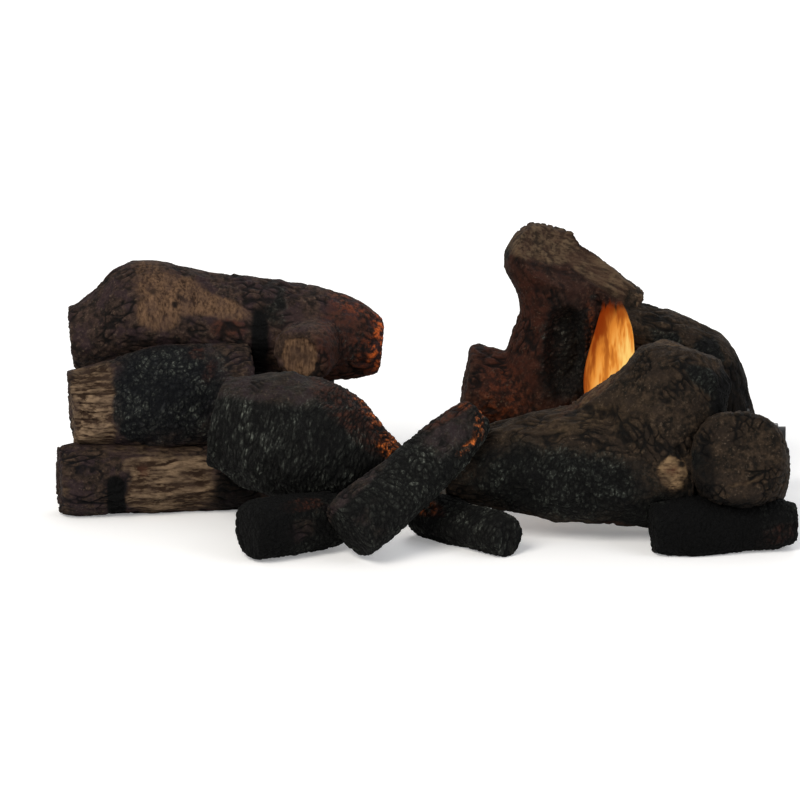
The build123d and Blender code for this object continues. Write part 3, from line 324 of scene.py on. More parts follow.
@dataclass(frozen=True)
class FiredClay:
    """Cast refractory clay, painted as wood and fired: matt, dark in its cracks, dusty on its crests."""

    name: str
    bark_dark: str = "#16110f"
    bark_light: str = "#43352b"
    bark_tint: str = "#2f2427"
    dust: str = "#6b5c4c"
    char_dark: str = "#070707"
    char_light: str = "#21211f"
    ash: str = "#666a62"
    wood_dark: str = "#2a1d14"
    wood_light: str = "#8d745b"
    # Dark red of the painted firelight tint
    firelight_red: str = "#43241a"
    # Near black of painted shade in gaps, hollows and undersides, and of small soot flecks
    soot_and_painted_shade: str = "#030303"
    # Colour of the painted firelight, an orange glow laid on the rims that the flames light
    flame_light: str = "#e2661c"
    ash_share: float = 1.0
    fleck_stretch: float = 0.8
    hair: Triple = (0.3, 1.0, 1.0)

    def make(self) -> bpy.types.Material:
        """Builds the material: paint colours by the mesh's own masks, cracks dark, painted firelight and
        painted shade, grit as bump.
        """
        shades = Shades(self.name)
        grain = shades.noise(6.0, 6.0)
        patch = shades.noise(16.0, 4.0)
        fine = shades.noise(2.4, 3.0)
        grit = shades.noise(1.3, 3.0)
        crack = shades.number("crack")
        crest = shades.number("crest")
        # Brown is sponged over dark paint, so its tone follows the grain, and crests catch dry light paint
        bark = shades.mix(shades.band(grain, 0.36, 0.68), self.bark_dark, self.bark_light)
        bark = shades.mix(shades.band(patch, 0.44, 0.6, 0.0, 0.75), bark, self.bark_tint)
        bark = shades.mix(shades.band(fine, 0.35, 0.6, 0.35, 0.0), bark, self.bark_dark)
        dust = shades.sum("MULTIPLY", shades.band(fine, 0.56, 0.68), crest)
        bark = shades.mix(shades.sum("MULTIPLY", dust, 0.4), bark, self.dust)
        char = shades.mix(shades.band(grain, 0.42, 0.72), self.char_dark, self.char_light)
        # Ash clings to char as fine flecks, drawn out upright where the clay's scales stand upright
        fleck = shades.band(shades.noise(2.2, 4.0, (1.0, 1.0, self.fleck_stretch)), 0.5, 0.66, 0.14, 1.0)
        fleck = shades.sum("MULTIPLY", fleck, shades.number("ash"))
        char = shades.mix(shades.sum("MULTIPLY", fleck, self.ash_share), char, self.ash)
        hair = shades.band(shades.noise(2.4, 4.0, self.hair), 0.36, 0.64, -0.44, 0.16)
        fibre = shades.sum("ADD", shades.number("fibre"), hair)
        wood = shades.mix(fibre, self.wood_dark, self.wood_light)
        wood = shades.mix(shades.band(patch, 0.4, 0.7, 0.0, 0.55), wood, self.bark_light)
        colour = shades.mix(shades.number("char"), bark, char)
        colour = shades.mix(shades.number("split"), colour, wood)
        # Painted firelight: a dark red tint where the flames' light falls on the clay, thinned by the grain
        painted_firelight_red = shades.sum("MULTIPLY", shades.number("painted_firelight_red"), shades.band(grain, 0.36, 0.62, 0.15, 1.0))
        colour = shades.mix(painted_firelight_red, colour, self.firelight_red)
        # Cracks darken towards char_dark: the bark's own dark fissures, deepened by painted shade in the
        # creases
        colour = shades.mix(shades.band(crack, 0.15, 0.9, 0.0, 0.85), colour, self.char_dark)
        # Painted shade: near black where shadow falls in gaps, hollows and undersides; also small soot flecks
        colour = shades.mix(shades.number("soot_and_painted_shade"), colour, self.soot_and_painted_shade)
        # Painted firelight: rims and glints that the flames light glow orange, gated by grain and fine noise
        # and kept out of cracks
        lit = shades.sum("MULTIPLY", shades.number("painted_firelight"), shades.band(grain, 0.44, 0.62, 0.0, 1.0))
        lit = shades.sum("MULTIPLY", lit, shades.band(fine, 0.35, 0.55, 0.3, 1.0))
        lit = shades.sum("MULTIPLY", lit, shades.band(crack, 0.1, 0.8, 1.0, 0.15))
        # Char breaks into scales finer than the mesh holds, so they are bump
        scale = shades.noise(3.4, 3.0, (1.0, 1.0, self.fleck_stretch))
        scale = shades.sum("MULTIPLY", shades.band(scale, 0.4, 0.6), shades.number("char"))
        grit_bump = shades.bump(grit, 0.4)
        return shades.set(
            Base_Color=colour,
            Roughness=shades.band(grit, 0.3, 0.7, 0.75, 0.97),
            Specular_IOR_Level=0.1,
            Emission_Color=shades.mix(lit, "#000000", self.flame_light),
            Emission_Strength=1.0,
            Normal=shades.bump(grain, 0.9, shades.bump(scale, 0.7, grit_bump)),
        )


@dataclass(frozen=True)
class Metal:
    """A metal or plated part: its tone varies a little, and fine lines or grit break its shine."""

    name: str
    colour: str
    worn: str
    roughness: float
    metallic: float = 1.0
    grain: float = 0.6
    stretch: Triple = (1.0, 1.0, 1.0)

    def make(self) -> bpy.types.Material:
        """Builds the material: a clean and a heat-dulled tone, with brushed or cast grain as bump."""
        shades = Shades(self.name)
        tone = shades.band(shades.noise(16.0, 4.0), 0.4, 0.68)
        grain = shades.noise(self.grain, 2.0, self.stretch)
        return shades.set(
            Base_Color=shades.mix(tone, self.colour, self.worn),
            Metallic=self.metallic,
            Roughness=shades.band(grain, 0.3, 0.7, self.roughness - 0.08, min(self.roughness + 0.12, 1.0)),
            Specular_IOR_Level=0.5 if self.metallic else 0.2,
            Normal=shades.bump(grain, 0.05),
        )


@dataclass(frozen=True)
class Moulded:
    """A moulded plastic, rubber, ceramic or packed grain surface that isn't metal."""

    name: str
    colour: str
    second: str
    roughness: float
    grain: float = 0.8
    depth: float = 0.06

    def make(self) -> bpy.types.Material:
        """Builds the material: two close tones in a grain of its own size, with the same grain as bump."""
        shades = Shades(self.name)
        grain = shades.noise(self.grain, 3.0)
        return shades.set(
            Base_Color=shades.mix(shades.band(grain, 0.35, 0.65), self.colour, self.second),
            Roughness=shades.band(grain, 0.3, 0.7, self.roughness - 0.1, min(self.roughness + 0.1, 1.0)),
            Normal=shades.bump(grain, self.depth),
        )


@dataclass(frozen=True)
class Ember:
    """Mineral wool lumps over the ports: black crusts, and orange heat that shows in their hollows."""

    name: str = "glowing_mineral_wool"

    def make(self) -> bpy.types.Material:
        """Builds the material: heat by cracks and noise, from dull red to yellow."""
        shades = Shades(self.name)
        heat = shades.band(shades.noise(7.0, 4.0), 0.38, 0.66)
        heat = shades.sum("MULTIPLY", heat, shades.band(shades.cracks(5.0), 0.02, 0.3, 1.0, 0.35))
        return shades.set(
            Base_Color=shades.mix(heat, "#1b1614", "#7a2a10"),
            Roughness=0.95,
            Emission_Color=shades.mix(heat, "#5a0f02", "#ff8a2a"),
            Emission_Strength=shades.band(heat, 0.1, 0.9, 0.05, 3.0),
            Normal=shades.bump(shades.noise(1.6, 3.0), 0.6),
        )


@dataclass(frozen=True)
class Flame:
    """Burning gas with a little soot: clear at its edges, yellow in its heart and orange at its tip."""

    name: str = "burning_gas"

    def make(self) -> bpy.types.Material:
        """Builds the material: light only, coloured by heat and thinned by the mesh's own edge number."""
        shades = Shades(self.name)
        streak = shades.band(shades.noise(8.0, 3.0, (1.0, 1.0, 0.16)), 0.3, 0.7)
        hot = shades.sum("MULTIPLY", shades.number("fire_heat"), shades.band(streak, 0.0, 1.0, 0.45, 1.0))
        colour = shades.mix(shades.band(hot, 0.04, 0.32), "#82300a", "#ea9036")
        colour = shades.mix(shades.band(hot, 0.22, 0.5), colour, "#ffd074")
        light = add_node(shades.tree, "Emission", Color=colour, Strength=1.0)
        clear = add_node(shades.tree, "BsdfTransparent")
        edge = shades.band(streak, 0.0, 1.0, 0.0, 0.35)
        body = shades.band(shades.sum("SUBTRACT", shades.number("fire_body"), edge), 0.02, 0.45)
        thin = add_node(shades.tree, "MixShader", i0=body, i1=clear.outputs[0], i2=light.outputs[0])
        shades.tree.links.new(thin.outputs[0], shades.output.inputs["Surface"])
        shades.tree.nodes.remove(shades.shader)
        return shades.material


# Logs

# How far each ring of a log departs from round, as shares of its girth, and the same for blocky bark
RING_LOBES = (0.03, -0.03, 0.02, -0.04, 0.04, -0.02, 0.03, -0.03)
RIDGE_LOBES = (
    (0.04, -0.05, 0.03, -0.04, 0.06, -0.03, 0.05, -0.06)
    + (0.03, -0.04, 0.05, -0.03, 0.04, -0.06, 0.06, -0.04)
)


class Cover(Enum):
    """What most of a log is painted as."""

    BARK = "bark"
    CHAR = "char"


class Mark(Enum):
    """What a mark on a log shows."""

    BARK = "bark"
    CHAR = "char"
    SPLIT = "split"
    # Painted firelight: a dark red tint where the flames' light falls
    FIRELIGHT_RED = "painted_firelight_red"
    # Painted firelight: an orange glow on rims and glints that the flames light
    PAINTED_FIRELIGHT = "painted_firelight"
    # Painted shade where shadow falls in gaps and hollows and under logs, and small soot flecks
    SOOT_AND_SHADE = "soot_and_painted_shade"


@dataclass(frozen=True)
class Spot:
    """A soft-edged oval mark, placed in the front view and laid on the surfaces that face it."""

    mark: Mark
    x: float
    y: float
    half_width: float
    half_height: float
    turn: float = 0.0
    strength: float = 1.0
    edge: float = 0.3
    corner: float = 2.6

    def shade(self, points: Array, normals: Array, seed: int) -> Array:
        """How strongly the mark shows at each point, its rim broken up by noise.

        Args:
            points: Places in millimetres.
            normals: The surface's direction at each place.
            seed: Picks the noise of the rim.

        Returns:
            A share from 0 to 1 for each point.
        """
        tilt = math.radians(VIEW_TILT)
        level = points[:, 2] * math.cos(tilt) + (points[:, 1] + VIEW_FRONT) * math.sin(tilt)
        across = points[:, 0] - (self.x - VIEW_MIDDLE) * VIEW_UNIT
        rise = level - (VIEW_FLOOR - self.y) * VIEW_UNIT
        angle = math.radians(self.turn)
        long = (across * math.cos(angle) + rise * math.sin(angle)) / (self.half_width * VIEW_UNIT)
        short = (rise * math.cos(angle) - across * math.sin(angle)) / (self.half_height * VIEW_UNIT)
        reach = (np.abs(long) ** self.corner + np.abs(short) ** self.corner) ** (1.0 / self.corner)
        reach = reach + 0.2 * rough_noise(points, 14.0, seed + 40)
        facing = ease((normals @ TOWARDS_VIEW + 0.15) * 2.5)
        return ease((1.0 + self.edge - reach) / (2.0 * self.edge)) * facing * self.strength


@dataclass(frozen=True)
class Facet:
    """A flat face left where wood split away: points beyond the plane, near its middle, are laid on it."""

    spot: Triple
    facing: Triple
    reach: float = 150.0

    def flatten(self, points: Array) -> Array:
        """Moves the points beyond the plane back to it, less and less towards the end of its reach."""
        normal = np.array(self.facing) / np.linalg.norm(self.facing)
        offset = points - np.array(self.spot)
        beyond = np.maximum(offset @ normal, 0.0)
        share = ease((self.reach - np.linalg.norm(offset, axis=1)) / (0.3 * self.reach))
        return points - (beyond * share)[:, None] * normal


@dataclass(frozen=True)
class Hollow:
    """An oval burnt hollow in the front of a standing log."""

    spot: Triple
    half_width: float
    half_height: float
    depth: float

    def press(self, points: Array, normals: Array) -> Array:
        """Presses the front surface back: most in the oval's middle, and steeply at its rim."""
        across = (points[:, 0] - self.spot[0]) / self.half_width
        rise = (points[:, 2] - self.spot[2]) / self.half_height
        reach = np.hypot(across, rise) + 0.1 * rough_noise(points, 16.0, 7)
        pressed = points.copy()
        pressed[:, 1] += self.depth * ease((1.1 - reach) / 0.5) * ease(-normals[:, 1] * 2.0)
        return pressed


@dataclass(frozen=True)
class Limb:
    """One tapering, bending limb of a log, in millimetres and degrees, as the frame has it.

    Each row of its shape holds the share along the length, then the sideways
    shift, the lift and the half thickness as shares of the girth. A ridged limb
    has more lobes, which turn by one place from each row to the next. Sawn is
    the share of the far end's radius that shows bare wood. Grain is the way the
    bark runs where that isn't along the limb.
    """

    start: Triple
    heading: float
    tilt: float
    length: float
    girth: float
    shape: tuple[tuple[float, ...], ...]
    turn: int = 0
    sawn: float = 0.0
    ridged: bool = False
    grain: Triple | None = None

    def axes(self) -> tuple[Array, Array, Array]:
        """The limb's own directions: along it, sideways and up across it."""
        heading, tilt = math.radians(self.heading), math.radians(self.tilt)
        level = math.cos(tilt)
        along = np.array((level * math.cos(heading), level * math.sin(heading), math.sin(tilt)))
        side = np.array((-math.sin(heading), math.cos(heading), 0.0))
        return along, side, np.cross(along, side)

    def profile(self, shares: Array) -> tuple[Array, Array]:
        """The centre line and half thickness at these shares: the rows joined, their corners averaged off."""
        rows = np.array(self.shape)
        steps = np.linspace(-0.04, 0.04, 5)
        near = np.clip(shares[:, None] + steps[None, :], 0.0, 1.0)
        side_shift, lift, half = (np.interp(near, rows[:, 0], rows[:, k]).mean(axis=1) for k in (1, 2, 3))
        along, side, up = self.axes()
        centre = (
            np.array(self.start)
            + shares[:, None] * self.length * along
            + side_shift[:, None] * self.girth * side
            + lift[:, None] * self.girth * up
        )
        return centre, half * self.girth

    def lobes(self, angles: Array, shares: Array) -> Array:
        """How far a ring departs from round: its lobes eased between their places, and from row to row."""
        table = np.array(RIDGE_LOBES if self.ridged else RING_LOBES)
        rows = np.array(self.shape)[:, 0]
        row = np.clip(np.searchsorted(rows, shares, side="right") - 1, 0, len(rows) - 2)
        along = np.clip((shares - rows[row]) / (rows[row + 1] - rows[row]), 0.0, 1.0)
        places = angles / (2.0 * np.pi) * len(table)
        first = np.floor(places).astype(int)
        part = ease(places - first)
        total = np.ones(len(places))
        for step, weight in ((0, 1.0 - along), (1, along)):
            turned = self.turn + ((row + step) if self.ridged else 0)
            low = table[(first + turned) % len(table)]
            high = table[(first + 1 + turned) % len(table)]
            total += weight * (low + (high - low) * part)
        return total

    def tube(self, rings: int = 56, sides: int = 72) -> tuple[Array, Faces]:
        """The limb's surface: rings of its profile along the centre line, closed by a fan at each end.

        Args:
            rings: How many rings there are.
            sides: How many points each ring has.

        Returns:
            The points in millimetres, and the faces.
        """
        shares = np.linspace(0.0, 1.0, rings)
        centre, half = self.profile(shares)
        along, side, _ = self.axes()
        run = np.gradient(centre, axis=0)
        facing = run / np.linalg.norm(run, axis=1)[:, None] + along
        facing /= np.linalg.norm(facing, axis=1)[:, None]
        across = side - (facing @ side)[:, None] * facing
        across /= np.linalg.norm(across, axis=1)[:, None]
        upward = np.cross(facing, across)
        angles = np.arange(sides) * 2.0 * np.pi / sides
        lobes = self.lobes(np.tile(angles, rings), np.repeat(shares, sides)).reshape(rings, sides)
        reach = half[:, None] * lobes
        cosine, sine = np.cos(angles)[None, :, None], np.sin(angles)[None, :, None]
        ring = across[:, None, :] * cosine + upward[:, None, :] * sine
        points = (centre[:, None, :] + ring * reach[:, :, None]).reshape(-1, 3)
        return np.vstack([points, centre[0], centre[-1]]), closed_faces(rings, sides)

    def local(self, points: Array) -> tuple[Array, Array, Array]:
        """Where points lie on the limb.

        Args:
            points: Places in millimetres.

        Returns:
            Each place along, sideways and up in the limb's own directions from its centre line,
            the limb's surface radius there, and how far outside its surface the place is.
        """
        along, side, up = self.axes()
        offset = points - np.array(self.start)
        run = offset @ along
        share = np.clip(run / self.length, 0.0, 1.0)
        centre, half = self.profile(share)
        away = points - centre
        flat = np.stack([run, away @ side, away @ up], axis=1)
        angle = np.arctan2(flat[:, 2], flat[:, 1])
        surface = half * self.lobes(angle, share)
        beyond = np.maximum(np.maximum(-run, run - self.length), 0.0)
        outside = np.maximum(np.hypot(flat[:, 1], flat[:, 2]) - surface, beyond)
        return flat, surface, outside

    def grain_places(self, points: Array, flat: Array) -> Array:
        """Places along and across the bark's grain, which are the limb's own unless it has another grain."""
        if self.grain is None:
            return flat
        along = np.array(self.grain) / np.linalg.norm(self.grain)
        side = np.cross(along, (0.0, 1.0, 0.0))
        side /= np.linalg.norm(side)
        return (points - np.array(self.start)) @ np.stack([along, side, np.cross(along, side)], axis=1)


@dataclass(frozen=True)
class Relief:
    """The sizes of one log's surface pattern, in millimetres."""

    bark: tuple[float, float] = (26.0, 8.0)
    char: tuple[float, float] = (5.5, 8.0)
    bark_depth: float = 2.2
    char_depth: float = 0.9
    split_depth: float = 1.8
    split_recess: float = 1.6
    split_grain: tuple[float, float] = (60.0, 3.6)
    fibre_contrast: float = 0.75
    groove_gap: float = 0.0
    lump: float = 1.6

    def forms(self, flat: Array, seed: int) -> dict[str, Array]:
        """The heights of bark, char and split wood, and what the finishes read of them.

        Bark and char are cells round scattered seeds, bent by soft noise, with a groove at each
        crack. Bark's cells run along the limb, most of their cracks fade out, and strands and pits
        lie over them. Char's cells run round the limb, with smaller cells on top. Split wood is
        noise stretched along the limb into ridges and steps, with dark grooves along it, an even
        gap apart but bent by soft noise, where the log has them.

        Args:
            flat: Places in the limb's own directions.
            seed: Picks the pattern.

        Returns:
            Each height in millimetres, and the shares for cracks, crests, ash and fibres, by name.
        """
        bend = np.stack([soft_noise(flat, 24.0, seed + k) for k in (1, 2, 3)], axis=1) * 7.0
        bend = bend + np.stack([soft_noise(flat, 7.0, seed + k) for k in (4, 5, 6)], axis=1) * 1.8
        gap, tone = cell_pattern(flat + bend, (self.bark[0], self.bark[1], self.bark[1]), seed + 10)
        open_share = ease(0.45 + 1.5 * soft_noise(flat, 17.0, seed + 15))
        bark_crack = (1.0 - ease(gap * 3.4)) * open_share
        strand = rough_noise(flat + bend, (17.0, 3.4, 3.4), seed + 20, 3)
        pits = rough_noise(flat, 6.0, seed + 25, 2)
        bark = 0.5 - self.bark_depth * bark_crack + 0.8 * (tone - 0.5) + 1.3 * strand + 0.4 * pits
        bark_crest = ease(0.45 + 0.8 * strand + 0.5 * pits - bark_crack)
        char_size = (self.char[0], self.char[1], self.char[1])
        gap, tone = cell_pattern(flat + bend * 0.8, char_size, seed + 30)
        char_crack = 1.0 - ease(gap * 2.6)
        small_gap, small_tone = cell_pattern(flat + bend * 0.5, tuple(v * 0.42 for v in char_size), seed + 50)
        small_crack = 1.0 - ease(small_gap * 2.4)
        char = 0.5 - self.char_depth * char_crack + 0.9 * (tone - 0.5)
        char = char - 0.35 * small_crack + 0.35 * (small_tone - 0.5)
        crest = ease(0.3 + 0.9 * tone - 0.9 * char_crack - 0.5 * small_crack + 0.5 * (small_tone - 0.5))
        veil = ease(0.5 + 1.4 * soft_noise(flat, 24.0, seed + 57))
        clump = ease(0.45 + 1.3 * rough_noise(flat, (8.0, 11.0, 11.0), seed + 55, 3))
        ash = (0.2 + 0.8 * clump) * (0.35 + 0.65 * veil) * (1.0 - 0.35 * char_crack)
        long, thin = self.split_grain
        strands = rough_noise(flat + bend * 0.35, (long, thin, thin), seed + 60, 2)
        wide = (long * 1.6, thin * 2.6, thin * 2.6)
        step = ease(soft_noise(flat + bend * 0.5, wide, seed + 70) * 1.8 + 0.5)
        groove = np.zeros(len(flat))
        if self.groove_gap:
            wave = flat[:, 2] + 2.6 * soft_noise(flat, (46.0, 15.0, 15.0), seed + 75) + 0.25 * bend[:, 2]
            place = wave / self.groove_gap
            middle = np.abs(place - np.floor(place) - 0.5) * 2.0
            open_share = ease(0.75 + 1.4 * soft_noise(flat, (26.0, 12.0, 12.0), seed + 77))
            groove = (1.0 - ease(middle * 3.8)) * open_share
        split = self.split_depth * (0.6 * strands - 0.6 * (1.0 - step) - 0.9 * groove) - self.split_recess
        contrast = self.fibre_contrast
        fibre = ease(0.64 + contrast * (strands - 0.33 * (1.0 - step))) * (1.0 - 0.9 * groove)
        return {
            "bark": bark, "bark_crack": bark_crack, "bark_crest": bark_crest,
            "char": char, "char_crack": np.maximum(char_crack, 0.6 * small_crack), "crest": crest,
            "ash": ash, "split": split, "fibre": fibre,
        }


# The carved skin, in millimetres: how deep and how proud its pattern may go, how soon one limb's pattern
# gives way to the next one's, how far apart the rings of a sawn end lie, and the gap of a seat
DEEPEST = 6.0
PROUDEST = 2.4
BLEND = 1.6
RING_GAP = 6.0
SEAT_GAP = 0.3


@dataclass(frozen=True)
class ClayLog:
    """One log of the set, cast in clay and painted: its limbs, what it rests on, and its marks."""

    node: str
    finish: FiredClay
    limbs: tuple[Limb, ...]
    body: str = "root"
    slot: str = "fired_clay_brown"
    cover: Cover = Cover.BARK
    spots: tuple[Spot, ...] = ()
    facets: tuple[Facet, ...] = ()
    hollows: tuple[Hollow, ...] = ()
    rests_on: tuple[str, ...] = ()
    floor: float = 0.0
    relief: Relief = Relief()
    voxel: float = 2.5
    seed: int = 0

    def cast(self) -> bpy.types.Mesh:
        """Joins the limbs into one closed skin by voxels, smooths it and divides it once."""
        points, faces = join_parts([limb.tube() for limb in self.limbs])
        rough = mesh_piece(self.node + "_rough", points * MM, faces)
        remesh = rough.modifiers.new("join", "REMESH")
        remesh.mode = "VOXEL"
        remesh.voxel_size = self.voxel * MM * 1.0
        smooth = rough.modifiers.new("smooth", "SMOOTH")
        smooth.factor = 0.5
        smooth.iterations = 3
        divide = rough.modifiers.new("divide", "SUBSURF")
        divide.levels = divide.render_levels = 1
        graph = bpy.context.evaluated_depsgraph_get()
        mesh = bpy.data.meshes.new_from_object(rough.evaluated_get(graph))
        old = rough.data
        bpy.data.objects.remove(rough)
        bpy.data.meshes.remove(old)
        return mesh

    def masks(self, points: Array, normals: Array, sawn: Array) -> dict[str, Array]:
        """Where the log is charred or split, tinted red or lit by painted firelight, or darkened by soot and
        painted shade: its cover in blotches, then its spots in order.
        """
        blotch = rough_noise(points, 46.0, self.seed + 80)
        if self.cover is Cover.CHAR:
            char = 1.0 - ease((blotch - 0.42) * 5.0)
        else:
            char = ease((blotch - 0.3) * 5.0)
        shown = {"char": char * (1.0 - sawn), "split": sawn}
        shown.update({mark.value: np.zeros(len(points)) for mark in (Mark.FIRELIGHT_RED, Mark.PAINTED_FIRELIGHT, Mark.SOOT_AND_SHADE)})
        for count, spot in enumerate(self.spots):
            share = spot.shade(points, normals, self.seed + count)
            if spot.mark in (Mark.BARK, Mark.SPLIT):
                shown["char"] *= 1.0 - share
            if spot.mark in (Mark.BARK, Mark.CHAR, Mark.SOOT_AND_SHADE):
                shown["split"] *= 1.0 - share
            if spot.mark is not Mark.BARK:
                shown[spot.mark.value] = np.maximum(shown[spot.mark.value], share)
        return shown

    def carve(self, mesh: bpy.types.Mesh, logs: dict[str, "ClayLog"]) -> tuple[Array, dict[str, Array]]:
        """Presses the pattern into the skin and seats it on its neighbours.

        The height at each point is the bark, char and split heights, each by its share there,
        blended between the limbs by nearness, plus soft lumps; it moves the point along its normal.

        Args:
            mesh: The joined skin.
            logs: Every log, by its node's name.

        Returns:
            The points in millimetres, and the numbers that the finish reads.
        """
        points, normals = read_points(mesh)
        points = points / MM
        for facet in self.facets:
            points = facet.flatten(points)
        for hollow in self.hollows:
            points = hollow.press(points, normals)
        nearness, forms, sawn, ring = [], [], np.zeros(len(points)), np.zeros(len(points))
        for count, limb in enumerate(self.limbs):
            flat, surface, outside = limb.local(points)
            nearness.append(np.exp(-np.clip(outside, -6.0, 30.0) / BLEND))
            forms.append(self.relief.forms(limb.grain_places(points, flat), self.seed * 100 + count * 17))
            if limb.sawn:
                radius = np.hypot(flat[:, 1], flat[:, 2])
                along, _, _ = limb.axes()
                ragged = radius * (1.0 + 0.22 * rough_noise(flat, 7.0, self.seed + 85))
                cap = ease((flat[:, 0] - limb.length + 5.0) / 3.0)
                cap = cap * ease((surface * limb.sawn - ragged) / 2.4)
                cap = cap * ease((normals @ along - 0.25) * 3.0)
                sawn = np.maximum(sawn, cap)
                wobble = rough_noise(flat, 13.0, self.seed + 90) * 15.0
                phase = (0.6 * radius + wobble) * 2.0 * np.pi / RING_GAP
                ring = np.where(cap > 0.02, 0.5 + 0.5 * np.sin(phase), ring)
        total = sum(nearness)
        form = {key: sum(f[key] * w / total for f, w in zip(forms, nearness)) for key in forms[0]}
        shown = self.masks(points, normals, sawn)
        split_share = shown["split"]
        solid = (1.0 - split_share) * (1.0 - shown["char"])
        charred = (1.0 - split_share) * shown["char"]
        fibre = form["fibre"] * (1.0 - 0.5 * sawn) + sawn * (0.22 + 0.28 * ring)
        split = form["split"] * (1.0 - 0.6 * sawn) + sawn * (0.5 * ring - 0.3)
        height = solid * form["bark"] + charred * form["char"] + split_share * split
        height = height + self.relief.lump * rough_noise(points, 26.0, self.seed + 95, 2) * (1.0 - sawn)
        points = points + normals * np.clip(height, -DEEPEST, PROUDEST)[:, None]
        for name in self.rests_on:
            for limb in logs[name].limbs:
                points = clear_of(limb, points)
        low, high = (np.array(corner) / MM for corner in CAD_BOX)
        points = np.clip(points, np.maximum(low, (-1e9, -1e9, self.floor)), high)
        crack = solid * form["bark_crack"] + charred * form["char_crack"] + split_share * (1.0 - fibre) * 0.3
        crest = solid * form["bark_crest"] + charred * form["crest"]
        return points, {**shown, "crack": crack, "crest": crest, "ash": form["ash"], "fibre": fibre}

    def build(self, logs: dict[str, "ClayLog"], paints: dict[str, bpy.types.Material]) -> bpy.types.Object:
        """Casts, carves and dresses the log, in place of its plain solid."""
        mesh = self.cast()
        points, numbers = self.carve(mesh, logs)
        mesh.name = self.node + "_clay"
        mesh.vertices.foreach_set("co", (points * MM).astype(np.float32).ravel())
        mesh.polygons.foreach_set("use_smooth", np.full(len(mesh.polygons), True))
        mesh.update()
        piece = bpy.data.objects.new(self.node + "_clay", mesh)
        bpy.context.scene.collection.objects.link(piece)
        for name, values in numbers.items():
            set_number(piece, name, values)
        mesh.materials.clear()
        mesh.materials.append(paints[self.finish.name])
        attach(piece, self.body)
        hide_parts(self.node)
        return piece


def clear_of(limb: Limb, points: Array) -> Array:
    """Moves points that lie inside a limb straight out from its centre line to its surface, as a seat."""
    _, side, up = limb.axes()
    flat, surface, _ = limb.local(points)
    radius = np.maximum(np.hypot(flat[:, 1], flat[:, 2]), 1e-6)
    within = (flat[:, 0] > -SEAT_GAP) & (flat[:, 0] < limb.length + SEAT_GAP)
    push = np.where(within, np.maximum(surface + SEAT_GAP - radius, 0.0), 0.0)
    outward = (flat[:, 1:2] * side + flat[:, 2:3] * up) / radius[:, None]
    return points + outward * push[:, None]


def straight_row(*halves: tuple[float, float]) -> tuple[tuple[float, ...], ...]:
    """The shape rows of a limb with no bends, from pairs of share and half thickness."""
    return tuple((share, 0.0, 0.0, half) for share, half in halves)


BROWN = FiredClay(
    "fired_clay_painted_bark", bark_light="#43352c", wood_light="#7f6a54",
    char_dark="#06070a", char_light="#1e1f22",
)
PEELED = FiredClay(
    "fired_clay_peeled_bark", bark_light="#43342d", bark_tint="#302427",
    wood_dark="#271a12", wood_light="#745943", hair=(1.0, 1.0, 0.35),
)
SMOKED = FiredClay(
    "fired_clay_smoked_bark", bark_dark="#110e0a", bark_light="#3b2f24", bark_tint="#271f19",
    char_dark="#060606", char_light="#1b1b18", ash="#5d625a", ash_share=0.85, wood_light="#7d664b",
)
BLACK = FiredClay(
    "fired_clay_painted_char", bark_dark="#15110f", bark_light="#332a24",
    fleck_stretch=0.4, flame_light="#ee7a2c",
)
# Char of the lowest front logs, darker still as painted shade, with little ash
CHAR_IN_SHADE = FiredClay(
    "fired_clay_char_painted_shade", char_dark="#040404", char_light="#0d0d0c", ash_share=0.35,
    bark_dark="#120e0c", bark_light="#2c231d",
)
REDDISH = FiredClay(
    "fired_clay_reddened_bark", bark_dark="#190f0c", bark_light="#3f2b22", bark_tint="#301d17",
    wood_dark="#2b2219", wood_light="#675541", firelight_red="#3f1d13",
)

BASE_LEFT = ClayLog(
    node="base_left_log", finish=BROWN, seed=1,
    limbs=(
        Limb((-347.9, 3.8, 33.0), 8.0, 0.0, 201.0, 34.5,
             ((0, 0, 0, 0.88), (0.05, 0, 0, 0.98), (0.45, 0, 0, 1), (0.8, 0.04, 0, 0.98),
              (1, 0, 0, 0.88)), 0),
    ),
    spots=(
        Spot(Mark.SPLIT, 171, 484, 45, 27, 0, 1.0, 0.1, 5.0),
        Spot(Mark.SOOT_AND_SHADE, 116, 497, 9, 20, 0, 1.0, 0.12, 5.0),
        Spot(Mark.SOOT_AND_SHADE, 236, 495, 24, 28, 0, 0.8),
        # Pale wood laid thin on the bark under the middle log: a painted highlight that offsets that log's
        # shadow
        Spot(Mark.SPLIT, 158, 445, 56, 12, 0, 0.4, 0.5),
        Spot(Mark.SPLIT, 66, 488, 3, 26, 0, 0.3, 0.6),
        Spot(Mark.FIRELIGHT_RED, 143, 470, 6, 6, 0, 0.5),
    ),
    facets=(Facet((-255.0, -14.5, 34.0), (0.135, -0.96, 0.25)),),
    relief=Relief(bark=(34.0, 6.5), split_depth=1.8, split_recess=0.8, split_grain=(26.0, 2.4)),
    voxel=2.1,
)

MID_LEFT = ClayLog(
    node="mid_left_log", finish=BROWN, seed=2,
    limbs=(
        Limb((-336.9, 22.7, 97.7), 7.5, 3.6, 175.0, 50.0,
             ((0, 0, 0, 0.72), (0.2, 0, 0.02, 0.8), (0.5, 0, 0.04, 1), (0.8, 0, 0, 0.97), (1, 0, 0, 0.9)), 2),
    ),
    spots=(
        Spot(Mark.CHAR, 168, 392, 56, 50),
        Spot(Mark.SPLIT, 91, 412, 23, 50, 0, 1.0, 0.16, 4.0),
        Spot(Mark.FIRELIGHT_RED, 196, 353, 8, 6, 0, 0.7),
        Spot(Mark.FIRELIGHT_RED, 209, 374, 6, 12, -20, 0.5),
    ),
    facets=(Facet((-310.0, -7.0, 100.0), (-0.3, -0.94, 0.05)),),
    rests_on=("base_left_log",),
    relief=Relief(split_depth=2.6, split_recess=0.6, split_grain=(40.0, 3.0), groove_gap=8.6),
    voxel=2.3,
)

